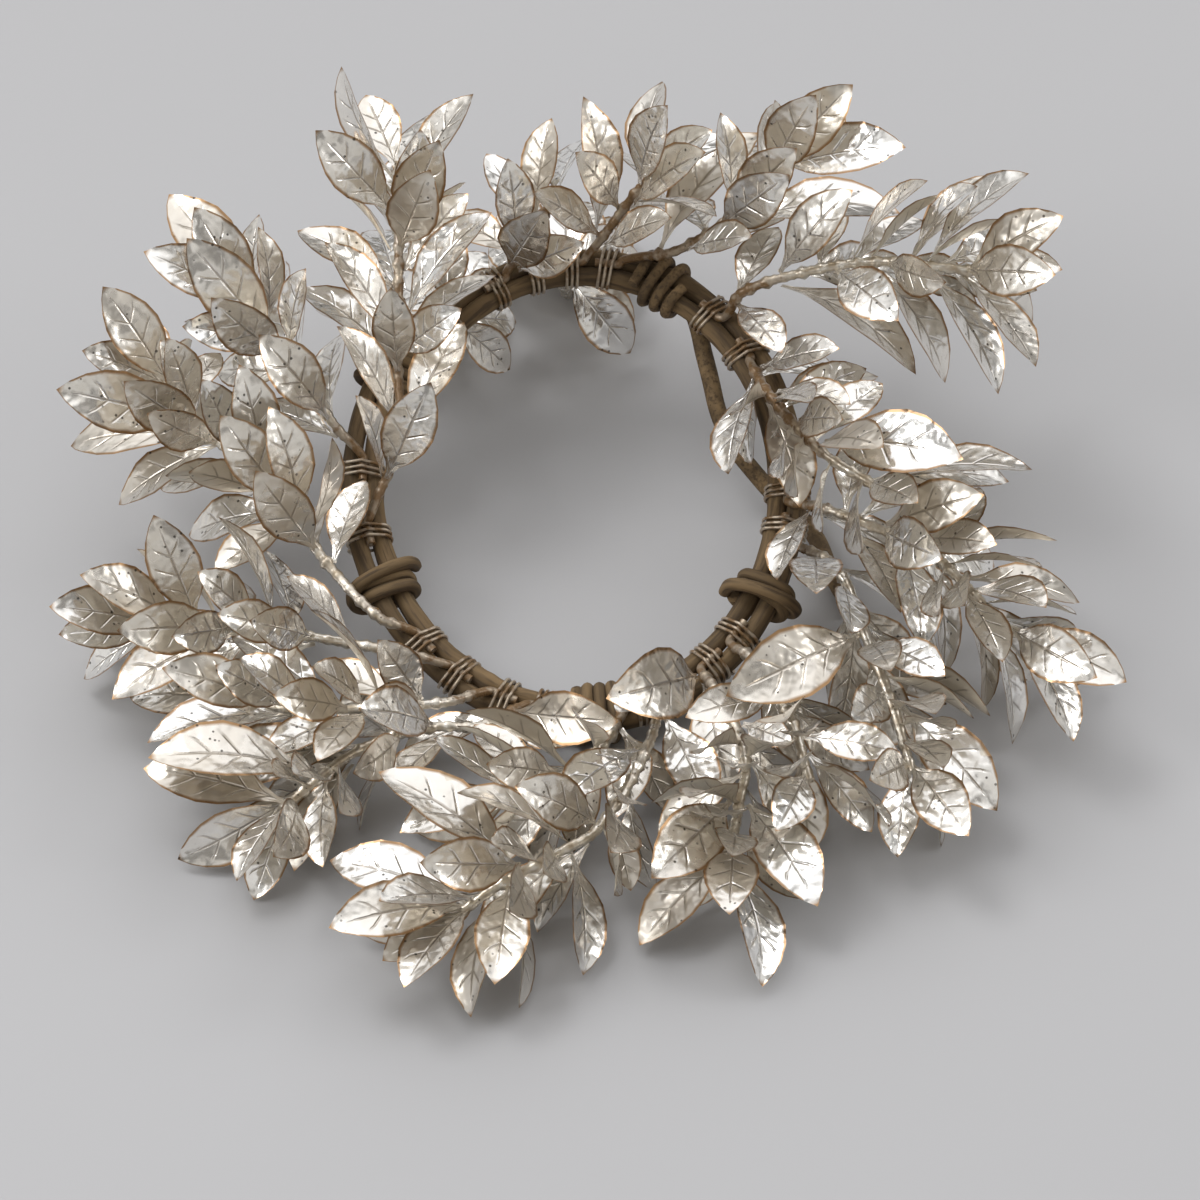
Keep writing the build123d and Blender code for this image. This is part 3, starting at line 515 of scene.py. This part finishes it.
def leaf_blades(spray, node, materials, seed):
    """All leaves of a spray, each laid on the frame of its CAD leaf, with a tone of its own.

    A leaf whose waves would dip below the floor is lifted onto it.
    """
    chance = np.random.default_rng(seed)
    top, under = leaf_numbers()
    faces, kinds = leaf_faces(top, under)
    sizes = np.array(list(LEAF_WIDTHS))
    blades, maps, tones = [], [], []
    for solid in solid_parts(node):
        base, axes, length = leaf_frame(solid)
        size = int(sizes[np.argmin(np.abs(sizes * MM - length))])
        spreads = (TWIST_SPREAD, CURL_SPREAD * size / FULL_CURL_SIZE)
        twist, curl = chance.normal(0.0, SPREAD_SHARE, 2) * spreads
        wave = WAVE_HEIGHT * chance.uniform(*WAVE_SHARES)
        surface, share = leaf_surface(size * MM, LEAF_WIDTHS[size], twist, curl, wave)
        blade = base + leaf_points(top, under, surface) @ axes
        blade[:, 2] -= min(blade[:, 2].min(), 0.0)
        blades.append((blade, faces))
        maps.append(leaf_points(top, under, share))
        tones.append(np.full(len(blade), chance.uniform()))
    mesh_piece(
        f"{spray}_leaf_blades",
        *joined(blades),
        materials,
        "silver_leaf",
        node.name,
        {"tone": np.concatenate(tones)},
        np.vstack(maps),
        kinds * len(blades),
    )


# Stems


def collar_axis(points):
    """Middle and axis of a collar: the one direction whose spread differs from the other two."""
    middle = (points.min(axis=0) + points.max(axis=0)) / 2
    spread, axes = np.linalg.eigh(np.cov((points - points.mean(axis=0)).T))
    lone = 0 if spread[1] - spread[0] > spread[2] - spread[1] else 2
    return middle, axes[:, lone]


def stem_joints(node, material):
    """Knobbly joints in place of the plain collars: a swelling with three blunt corners and a wire.

    Radius over the run u along the stem: that of the stem, plus a hump exp(-(u / width) squared)
    that swells and shrinks round the stem, plus a narrow hump for a thin ring of wire.
    """
    chance = np.random.default_rng(JOINT_SEED)
    run = np.linspace(-1.0, 1.0, JOINT_ROWS)[:, None] * JOINT_HALF_LENGTH
    turn = np.linspace(0.0, 2 * math.pi, JOINT_SIDES, endpoint=False)[None, :]
    hump = np.exp(-((run / JOINT_HUMP) ** 2))
    wire_ring = WIRE_RING_SWELL * np.exp(-(((run - WIRE_RING_PLACE) / WIRE_RING_WIDTH) ** 2))
    joints = []
    for collar in solid_parts(node):
        middle, axis = collar_axis(collar)
        axis = axis * chance.choice([-1.0, 1.0])
        level = unit(np.cross(axis, JOINT_GUIDE))
        upright = np.cross(axis, level)
        corners = np.sin(JOINT_CORNERS * turn + chance.uniform(0.0, ANY_PHASE))
        swell = JOINT_SWELL * chance.uniform(*JOINT_SHARES) * hump
        reach = JOINT_FIT * STEM_RADIUS + swell * (1.0 + CORNER_SHARE * corners) + wire_ring
        middles = middle + run[..., None] * axis
        joints.append(closed_tube(rings_round(middles, reach, turn, level, upright)))
    mesh_piece("stem_joints", *joined(joints), [material], "silver_stem", node.name)


# Vine


def ring_point(angle):
    """Points of the ring's middle line, its directions along and outward, for angles in degrees."""
    turn = np.radians(angle)[:, None]
    width, length = RING_WIDTH / 2, RING_LENGTH / 2
    along = unit(-width * np.sin(turn) * RING_ACROSS + length * np.cos(turn) * RING_BACK)
    middle = RING_CENTRE + width * np.cos(turn) * RING_ACROSS + length * np.sin(turn) * RING_BACK
    return middle, along, np.cross(along, RING_UP)


def ring_speed(angle):
    """Run along the ring for each radian of its angle."""
    turn = math.radians(angle)
    return math.hypot(RING_WIDTH / 2 * math.sin(turn), RING_LENGTH / 2 * math.cos(turn))


def strand_offsets(angle):
    """How far the inmost and outmost strands lie outward of the ring's middle line at an angle."""
    turned = (COIL_START - angle) % 360.0
    if min(turned, 360.0 - turned) < 2 * COIL_OVERLAP:
        return -STRAND_PITCH, STRAND_PITCH
    return STRAND_PITCH * (turned / 360.0 - 1.0), STRAND_PITCH * turned / 360.0


def bark_tube(path, guide, radius, seed, sides):
    """Grid of a gnarled rod round a path: its radius swells slowly, with long ridges and knobs.

    Each ring of points starts at the level side of the path, a quarter turn from the side that the
    guide points to. What would lie below the floor is pressed flat onto it. The second grid is the
    place on a straight rod, shortened along it, for the fibres.
    """
    chance = np.random.default_rng(seed)
    way = unit(np.gradient(path, axis=0))
    upright = unit(guide - np.sum(guide * way, axis=1, keepdims=True) * way)
    level = np.cross(upright, way)
    steps = np.linalg.norm(np.diff(path, axis=0), axis=1)
    run = np.concatenate([[0.0], np.cumsum(steps)])[:, None]
    turn = np.linspace(0.0, 2 * math.pi, sides, endpoint=False)[None, :]
    swell = np.ones((len(path), 1))
    for wave in chance.uniform(*SWELL_LENGTHS, SWELL_COUNT):
        phase = chance.uniform(0.0, ANY_PHASE)
        swell = swell + SWELL_SHARE * np.sin(2 * math.pi * run / (wave * MM) + phase)
    ridges = np.zeros((len(path), sides))
    for count in RIDGE_COUNTS:
        drift = chance.uniform(-RIDGE_DRIFT, RIDGE_DRIFT)
        phase = chance.uniform(0.0, ANY_PHASE)
        ridges = ridges + RIDGE_SHARE * np.sin(count * turn + drift * run / DRIFT_RUN + phase)
    for place in chance.uniform(run[0], run[-1], int(run[-1, 0] / KNOB_SPACING)):
        swell = swell + KNOB_SHARE * np.exp(-(((run - place) / KNOB_LENGTH) ** 2))
    reach = radius * (swell + ridges)
    grid = rings_round(path[:, None], reach, turn, level[:, None], upright[:, None])
    grid[..., 2] = np.maximum(grid[..., 2], 0.0)
    grain = [radius * np.cos(turn), radius * np.sin(turn), FIBRE_SHARE * run]
    return grid, np.stack([np.broadcast_to(part, reach.shape) for part in grain], axis=-1)


def bark_piece(name, tube, material, cad_node):
    """A closed piece of vine that carries the places of its fibres."""
    grid, grain = tube
    fibres = {"grain": closed_tube(grain)[0]}
    mesh_piece(name, *closed_tube(grid), [material], "vine", cad_node, fibres)


def vine_bark(material):
    """The vine: twice round the ring, one strand's pitch further out each time, with a wander."""
    extra = COIL_OVERLAP + COIL_END_EXTRA
    angle = np.linspace(COIL_START + extra, COIL_START - 720.0 - extra, BARK_STATIONS)
    middle, _, outward = ring_point(angle)
    offset = STRAND_PITCH * ((COIL_START - angle) / 360.0 - 1.0)
    wander = WANDER * np.sin(np.radians(angle) * WANDER_RATE + WANDER_START)
    rise = RISE * np.sin(np.radians(angle) * RISE_RATE)
    path = middle + (offset + wander)[:, None] * outward + rise[:, None] * RING_UP
    tube = bark_tube(path, BARK_GUIDE, VINE_RADIUS, VINE_SEED, BARK_SIDES)
    bark_piece("vine_bark", tube, material, "vine_coil")


def knot_path(angle, crosses):
    """Middle line of a thinner vine wound round the strands, one pitch along the ring a turn.

    Seen along the ring, a turn is a circle whose middle slides from one outer strand to the other.
    Where the end crosses, the last turn rises over the others and runs back along the ring.
    """
    inner, outer = strand_offsets(angle)
    place = np.linspace(0.0, KNOT_TURNS, KNOT_TURNS * KNOT_STEPS)
    turn = 2 * math.pi * place + math.pi
    last = np.clip(place - KNOT_TURNS + 1.0, 0.0, 1.0) if crosses else np.zeros_like(place)
    rise = CROSSING_RISE * np.minimum(CROSSING_HASTE * last, 1.0)
    reach = VINE_RADIUS + KNOT_RADIUS * (KNOT_SNUGNESS + rise)
    slide = np.clip(STRAND_SLIDE * np.cos(turn), -1.0, 1.0)
    aside = (inner + outer) / 2 + (outer - inner) / 2 * slide + reach * np.cos(turn)
    shift = KNOT_PITCH * (place - CROSSING_RETURN * last - (KNOT_TURNS - 1) / 2)
    middle, along, outward = ring_point(angle + np.degrees(shift / ring_speed(angle)))
    return middle + aside[:, None] * outward + (reach * np.sin(turn))[:, None] * RING_UP, along


def knot_bark(name, angle, crosses, material, seed):
    """A knot of thinner vine."""
    tube = bark_tube(*knot_path(angle, crosses), KNOT_RADIUS, seed, KNOT_SIDES)
    bark_piece(f"{name}_bark", tube, material, name)


# Binding wires


def ring_angle(point):
    """Angle of the ring's nearest place to a point: a guess in its plane, then steps along it."""
    away = point - RING_CENTRE
    angle = math.degrees(math.atan2(away @ RING_BACK / RING_LENGTH, away[0] / RING_WIDTH))
    for _ in range(NEAREST_STEPS):
        middle, along = ring_point(np.array([angle]))[:2]
        angle += math.degrees((point - middle[0]) @ along[0] / ring_speed(angle))
    return angle


def wire_path(angle, side):
    """Middle line of a wire wound tightly round two strands and the stem's foot over or under them.

    Seen along the ring, the wire follows the belt of three circles: in each direction it touches
    the circle that reaches furthest, and it runs straight from one circle to the next.
    """
    inner, outer = strand_offsets(angle)
    centres = np.array([[inner, 0.0], [outer, 0.0], [(inner + outer) / 2, side * SEAT_HEIGHT]])
    radii = np.array([VINE_RADIUS, VINE_RADIUS, STEM_RADIUS])
    turn = np.linspace(0.0, 2 * math.pi * WIRE_TURNS, WIRE_TURNS * WIRE_STEPS)
    toward = np.stack([np.cos(turn), np.sin(turn)], axis=1)
    touched = np.argmax(toward @ centres.T + radii, axis=1)
    place = centres[touched] + (radii[touched] + WIRE_STAND_OFF)[:, None] * toward
    shift = WIRE_PITCH * (turn / (2 * math.pi) - WIRE_TURNS / 2)
    middle, along, outward = ring_point(angle + np.degrees(shift / ring_speed(angle)))
    return middle + place[:, :1] * outward + place[:, 1:] * RING_UP, along


def wire_windings(node, material):
    """All binding wires, each wound at the place and on the side of its CAD wire."""
    windings = []
    for wire in solid_parts(node):
        middle = (wire.min(axis=0) + wire.max(axis=0)) / 2
        side = np.sign(np.mean((wire - RING_CENTRE) @ RING_UP))
        path, along = wire_path(ring_angle(middle), side)
        grid, _ = bark_tube(path, along, WIRE_RADIUS, WIRE_SEED, WIRE_SIDES)
        windings.append(closed_tube(grid))
    mesh_piece("binding_wire_turns", *joined(windings), [material], "wire", node.name)


# Shader nodes


def new_material(name):
    """A material with its node tree and its shader."""
    material = bpy.data.materials.new(name)
    material.use_nodes = True
    return material, material.node_tree, material.node_tree.nodes["Principled BSDF"]


def add_node(tree, kind, **settings):
    """A node with its settings."""
    node = tree.nodes.new(kind)
    for key, value in settings.items():
        setattr(node, key, value)
    return node


def feed(tree, socket, value):
    """Sets a socket to a number, or joins it to another socket."""
    if isinstance(value, (int, float)):
        socket.default_value = value
    else:
        tree.links.new(value, socket)


def math_node(tree, operation, *values):
    """Result of a sum on one or two values, each a socket or a number."""
    node = add_node(tree, "ShaderNodeMath", operation=operation)
    for socket, value in zip(node.inputs, values):
        feed(tree, socket, value)
    return node.outputs[0]


def times(tree, first, second):
    """Product of two values."""
    return math_node(tree, "MULTIPLY", first, second)


def plus(tree, first, second):
    """Sum of two values."""
    return math_node(tree, "ADD", first, second)


def minus(tree, first, second):
    """Difference of two values."""
    return math_node(tree, "SUBTRACT", first, second)


def larger(tree, first, second):
    """The larger of two values."""
    return math_node(tree, "MAXIMUM", first, second)


def mix_colour(tree, share, first, second):
    """Blend of two colours, each a socket or three numbers, by a share."""
    node = add_node(tree, "ShaderNodeMix", data_type="RGBA")
    tree.links.new(share, node.inputs[0])
    for place, value in zip(MIX_INPUTS, (first, second)):
        if isinstance(value, tuple):
            node.inputs[place].default_value = (*value, 1.0)
        else:
            tree.links.new(value, node.inputs[place])
    return node.outputs[MIX_OUTPUT]


def remap(tree, value, limits, results=(0.0, 1.0)):
    """A value carried from one range to another, held within it."""
    node = add_node(tree, "ShaderNodeMapRange", clamp=True)
    tree.links.new(value, node.inputs[0])
    for place, number in enumerate((*limits, *results), start=1):
        node.inputs[place].default_value = number
    return node.outputs[0]


def noise(tree, scale, detail, vector):
    """Soft noise over a vector."""
    node = add_node(tree, "ShaderNodeTexNoise")
    node.inputs["Scale"].default_value = scale
    node.inputs["Detail"].default_value = detail
    tree.links.new(vector, node.inputs["Vector"])
    return node.outputs[0]


def bump(tree, height, strength, distance):
    """Normal tilted by a height."""
    node = add_node(tree, "ShaderNodeBump")
    node.inputs["Strength"].default_value = strength
    node.inputs["Distance"].default_value = distance
    tree.links.new(height, node.inputs["Height"])
    return node.outputs[0]


def new_group(name, inputs, outputs):
    """A node group with named sockets of given kinds, with its input and output nodes."""
    tree = bpy.data.node_groups.new(name, "ShaderNodeTree")
    for way, sockets in (("INPUT", inputs), ("OUTPUT", outputs)):
        for label, kind in sockets.items():
            tree.interface.new_socket(label, in_out=way, socket_type=kind)
    return tree, tree.nodes.new("NodeGroupInput"), tree.nodes.new("NodeGroupOutput")


def use_group(tree, group, **values):
    """A group placed in a material, its inputs set to numbers or joined to sockets."""
    node = tree.nodes.new("ShaderNodeGroup")
    node.node_tree = group
    for label, value in values.items():
        feed(tree, node.inputs[label], value)
    return node


# Finishes


def speckle_group():
    """Small round dark specks: what lies close to the middle of a cell, in patches of cells."""
    tree, given, put = new_group(
        "specks", {"Vector": VECTOR, "Scale": NUMBER, "Amount": NUMBER}, {"Mask": NUMBER}
    )
    cells = add_node(tree, "ShaderNodeTexVoronoi")
    tree.links.new(given.outputs["Vector"], cells.inputs["Vector"])
    tree.links.new(given.outputs["Scale"], cells.inputs["Scale"])
    broad = noise(tree, *SPECK_PATCH, given.outputs["Vector"])
    dot = remap(tree, cells.outputs["Distance"], SPECK_EDGE, FALLING)
    patch = remap(tree, broad, PATCH_EDGE)
    mask = times(tree, times(tree, dot, patch), given.outputs["Amount"])
    tree.links.new(mask, put.inputs["Mask"])
    return tree


def vein_group():
    """Relief of a leaf from its own map: a grooved midrib, and side veins that run forward from it.

    With s the share of the length and t the distance from the midrib, a side vein lies where
    s - slant * t is halfway between two steps. It is a narrow groove that ends before the rim, and
    the blade rises a little between two of them. The rim is what lies next to the edge.
    """
    tree, given, put = new_group(
        "leaf veins",
        {"Map": VECTOR, "Pairs": NUMBER},
        {"Height": NUMBER, "Vein": NUMBER, "Rim": NUMBER},
    )
    split = add_node(tree, "ShaderNodeSeparateXYZ")
    tree.links.new(given.outputs["Map"], split.inputs[0])
    share = split.outputs[0]
    side = math_node(tree, "ABSOLUTE", times(tree, minus(tree, split.outputs[1], 0.5), 2.0))
    midrib = remap(tree, side, MIDRIB_EDGE, FALLING)
    midrib = times(tree, midrib, remap(tree, share, MIDRIB_END, FALLING))
    slant = minus(tree, share, times(tree, side, VEIN_SLANT))
    phase = math_node(tree, "FRACT", times(tree, slant, given.outputs["Pairs"]))
    off = math_node(tree, "ABSOLUTE", minus(tree, phase, 0.5))
    fade = remap(tree, side, VEIN_OUTER_END, FALLING)
    fade = times(tree, fade, remap(tree, share, VEIN_LAST, FALLING))
    vein = times(tree, remap(tree, off, VEIN_EDGE, FALLING), fade)
    both = larger(tree, midrib, times(tree, vein, VEIN_DEPTH))
    pillow = times(tree, times(tree, off, fade), PILLOW_HEIGHT)
    rim = larger(tree, remap(tree, side, RIM_SIDE), remap(tree, share, RIM_TIP))
    tree.links.new(minus(tree, pillow, both), put.inputs["Height"])
    tree.links.new(both, put.inputs["Vein"])
    tree.links.new(times(tree, rim, remap(tree, share, RIM_FOOT)), put.inputs["Rim"])
    return tree


def bark_group():
    """Dry bark: coarse noise for worn pale ridges, fine noise for darker cracks."""
    tree, given, put = new_group(
        "dry bark", {"Vector": VECTOR}, {"Colour": COLOUR, "Height": NUMBER}
    )
    coarse = noise(tree, *BARK_COARSE, given.outputs["Vector"])
    fine = noise(tree, *BARK_FINE, given.outputs["Vector"])
    brown = mix_colour(tree, remap(tree, coarse, BARK_TONES), BARK_DARK, BARK_PALE)
    cracks = remap(tree, fine, CRACK_EDGE, CRACK_SHARES)
    height = plus(tree, coarse, times(tree, fine, FINE_HEIGHT))
    tree.links.new(mix_colour(tree, cracks, brown, BARK_CRACK), put.inputs["Colour"])
    tree.links.new(height, put.inputs["Height"])
    return tree


def leaf_silver(name, veins, specks, pale, deep, rim, roughness, metallic):
    """Champagne silver on a pressed leaf: tone by leaf, gold brown rim, painted shade darkening the
    vein grooves, and specks.
    """
    material, tree, shader = new_material(name)
    place = add_node(tree, "ShaderNodeTexCoord").outputs["Object"]
    own = add_node(tree, "ShaderNodeUVMap", uv_map="surface").outputs[0]
    tone = add_node(tree, "ShaderNodeAttribute", attribute_name="tone").outputs["Fac"]
    vein = use_group(tree, veins, Map=own, Pairs=VEIN_PAIRS)
    speck = use_group(tree, specks, Vector=place, **LEAF_SPECKS)
    cloud = noise(tree, *LEAF_CLOUD, place)
    crumple = noise(tree, *LEAF_CRUMPLE, place)
    shade = plus(tree, times(tree, tone, TONE_SHARE), times(tree, cloud, CLOUD_SHARE))
    colour = mix_colour(tree, remap(tree, shade, LEAF_TONES), deep, pale)
    # Painted shade: the vein grooves are darkened in the colour itself, whatever the light
    grooves = times(tree, vein.outputs["Vein"], GROOVE_SHADE_SHARE)
    colour = mix_colour(tree, grooves, colour, LEAF_GROOVE_SHADE)
    colour = mix_colour(tree, times(tree, vein.outputs["Rim"], RIM_SHARE), colour, rim)
    colour = mix_colour(tree, speck.outputs["Mask"], colour, LEAF_SPECK)
    gloss = remap(tree, shade, GLOSS_TONES, (roughness + DEEP_ROUGHER, roughness - PALE_SMOOTHER))
    uneven = plus(tree, times(tree, cloud, CLOUD_HEIGHT), times(tree, crumple, CRUMPLE_HEIGHT))
    relief = plus(tree, vein.outputs["Height"], uneven)
    tree.links.new(colour, shader.inputs["Base Color"])
    tree.links.new(gloss, shader.inputs["Roughness"])
    shader.inputs["Metallic"].default_value = metallic
    tree.links.new(bump(tree, relief, *LEAF_RELIEF), shader.inputs["Normal"])
    return material


def stem_silver(name, specks, wear):
    """Satin champagne silver of the twigs, joints and wires, worn to the brown twig near the ring.

    The wear grows towards the ring: the distance from its middle, measured in its own half width
    and half length.
    """
    material, tree, shader = new_material(name)
    place = add_node(tree, "ShaderNodeTexCoord").outputs["Object"]
    cloud = noise(tree, *STEM_CLOUD, place)
    speck = use_group(tree, specks, Vector=place, **STEM_SPECKS)
    colour = mix_colour(tree, remap(tree, cloud, STEM_TONES), STEM_DEEP, STEM_PALE)
    across, back = 2 / RING_WIDTH, 2 / RING_LENGTH
    scaled = add_node(tree, "ShaderNodeVectorMath", operation="MULTIPLY_ADD")
    scaled.inputs[1].default_value = (across, back, 0.0)
    scaled.inputs[2].default_value = (-across * RING_CENTRE[0], -back * RING_CENTRE[1], 0.0)
    tree.links.new(place, scaled.inputs[0])
    away = add_node(tree, "ShaderNodeVectorMath", operation="LENGTH")
    tree.links.new(scaled.outputs[0], away.inputs[0])
    near = remap(tree, away.outputs["Value"], WEAR_REACH, (wear, 0.0))
    worn = remap(tree, plus(tree, near, minus(tree, cloud, 0.5)), WEAR_EDGE)
    colour = mix_colour(tree, worn, colour, STEM_WORN)
    colour = mix_colour(tree, speck.outputs["Mask"], colour, STEM_SPECK)
    gloss = remap(tree, cloud, STEM_TONES, STEM_ROUGHNESS)
    tree.links.new(colour, shader.inputs["Base Color"])
    tree.links.new(gloss, shader.inputs["Roughness"])
    tree.links.new(remap(tree, worn, (0.0, 1.0), STEM_METAL), shader.inputs["Metallic"])
    tree.links.new(bump(tree, cloud, *STEM_RELIEF), shader.inputs["Normal"])
    return material


def vine_brown(name, bark, fibred):
    """Bare dry vine, matte, with fibres along the piece where it carries their places."""
    material, tree, shader = new_material(name)
    if fibred:
        place = add_node(tree, "ShaderNodeAttribute", attribute_name="grain").outputs["Vector"]
    else:
        place = add_node(tree, "ShaderNodeTexCoord").outputs["Object"]
    grain = use_group(tree, bark, Vector=place)
    relief = bump(tree, grain.outputs["Height"], *BARK_RELIEF)
    tree.links.new(grain.outputs["Colour"], shader.inputs["Base Color"])
    shader.inputs["Roughness"].default_value = BARK_ROUGHNESS
    tree.links.new(relief, shader.inputs["Normal"])
    return material


def dress(node, material):
    """Gives a shown CAD node a finish."""
    node.data.materials.clear()
    node.data.materials.append(material)


# Studio


def floor():
    """A wide plain floor."""
    mesh = bpy.data.meshes.new("floor")
    corners = [(-1, -1), (1, -1), (1, 1), (-1, 1)]
    points = [(x * FLOOR_REACH, y * FLOOR_REACH, 0) for x, y in corners]
    mesh.from_pydata(points, [], [(0, 1, 2, 3)])
    material, _, shader = new_material("floor grey")
    shader.inputs["Base Color"].default_value = FLOOR_GREY
    shader.inputs["Roughness"].default_value = FLOOR_ROUGHNESS
    shader.inputs["Specular IOR Level"].default_value = FLOOR_GLOSS
    mesh.materials.append(material)
    plane = bpy.data.objects.new("floor", mesh)
    bpy.context.scene.collection.objects.link(plane)
    plane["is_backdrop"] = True


def sky():
    """Soft light all round: grey grows with the cosine to the bright way, with gaps and a patch.

    Noise cuts soft darker gaps into the grey, and a brighter patch lies round the bright way.
    """
    world = bpy.data.worlds.new("studio")
    bpy.context.scene.world = world
    world.use_nodes = True
    tree = world.node_tree
    background = tree.nodes["Background"]
    place = add_node(tree, "ShaderNodeTexCoord").outputs["Generated"]
    toward = add_node(tree, "ShaderNodeVectorMath", operation="DOT_PRODUCT")
    toward.inputs[1].default_value = SKY_BRIGHT_WAY
    tree.links.new(place, toward.inputs[0])
    cosine = toward.outputs["Value"]
    colour = mix_colour(tree, remap(tree, cosine, SKY_FADE), SKY_LOW, SKY_HIGH)
    gaps = remap(tree, noise(tree, *GAP_NOISE, place), GAP_EDGE)
    colour = mix_colour(tree, gaps, SKY_GAP, colour)
    colour = mix_colour(tree, remap(tree, cosine, SKY_PATCH_EDGE), colour, SKY_PATCH)
    tree.links.new(colour, background.inputs["Color"])
    background.inputs["Strength"].default_value = SKY_STRENGTH


def lamp(name, kind, energy, position, breadth):
    """A lamp at a position, turned to the origin."""
    data = bpy.data.lights.new(name, kind)
    data.energy = energy
    for key, value in breadth.items():
        setattr(data, key, value)
    light = bpy.data.objects.new(name, data)
    light.location = position
    light.rotation_euler = (-Vector(position)).to_track_quat("-Z", "Y").to_euler()
    bpy.context.scene.collection.objects.link(light)


def photograph_camera():
    """A long lens that looks down at the ring from the front, with the origin on its pixel."""
    data = bpy.data.cameras.new("camera")
    data.sensor_width = SENSOR_WIDTH
    data.lens = FOCAL_PIXELS / FRAME_PIXELS * SENSOR_WIDTH
    data.clip_end = VIEW_REACH
    distance = FOCAL_PIXELS / PIXELS_PER_MM * MM
    right = (FRAME_PIXELS / 2 - ORIGIN_PIXEL[0]) / PIXELS_PER_MM * MM
    up = (ORIGIN_PIXEL[1] - FRAME_PIXELS / 2) / PIXELS_PER_MM * MM
    aim = Vector((right, up * math.sin(VIEW_HEIGHT), up * math.cos(VIEW_HEIGHT)))
    camera = bpy.data.objects.new("camera", data)
    camera.location = aim + distance * Vector((0, -math.cos(VIEW_HEIGHT), math.sin(VIEW_HEIGHT)))
    camera.rotation_euler = (math.pi / 2 - VIEW_HEIGHT, 0, 0)
    bpy.context.scene.collection.objects.link(camera)
    bpy.context.scene.camera = camera


def main():
    """Makes the finishes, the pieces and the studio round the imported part."""
    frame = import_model()
    nodes = frame["nodes"]
    sizes = {}
    write_sizes("solids", sizes)
    bpy.context.scene.view_settings.view_transform = "Standard"

    specks = speckle_group()
    veins = vein_group()
    bark = bark_group()
    upper = leaf_silver("leaf silver", veins, specks, **LEAF_TOP)
    lower = leaf_silver("leaf underside", veins, specks, **LEAF_UNDERSIDE)
    silver = stem_silver("stem silver", specks, STEM_WEAR)
    wire = stem_silver("wire silver", specks, WIRE_WEAR)
    brown = vine_brown("vine brown", bark, True)
    plain_brown = vine_brown("plain vine brown", bark, False)

    vine_bark(brown)
    for seed, (name, angle, crosses) in enumerate(KNOTS):
        knot_bark(name, angle, crosses, brown, seed)
    stem_joints(nodes["leaf_collars"], silver)
    wire_windings(nodes["binding_wires"], wire)
    for seed, name in enumerate(sorted(nodes)):
        if name.endswith("_leaves"):
            leaf_blades(name.removesuffix("_leaves"), nodes[name], [upper, lower], seed)
        elif name in ("rear_knot", "vine_spur"):
            dress(nodes[name], plain_brown)
        elif name.endswith("_stem"):
            dress(nodes[name], silver)
        elif name == "core_wires":
            dress(nodes[name], wire)

    floor()
    sky()
    for given in LAMPS:
        lamp(*given)
    photograph_camera()
    write_sizes("dressed", sizes)


main()
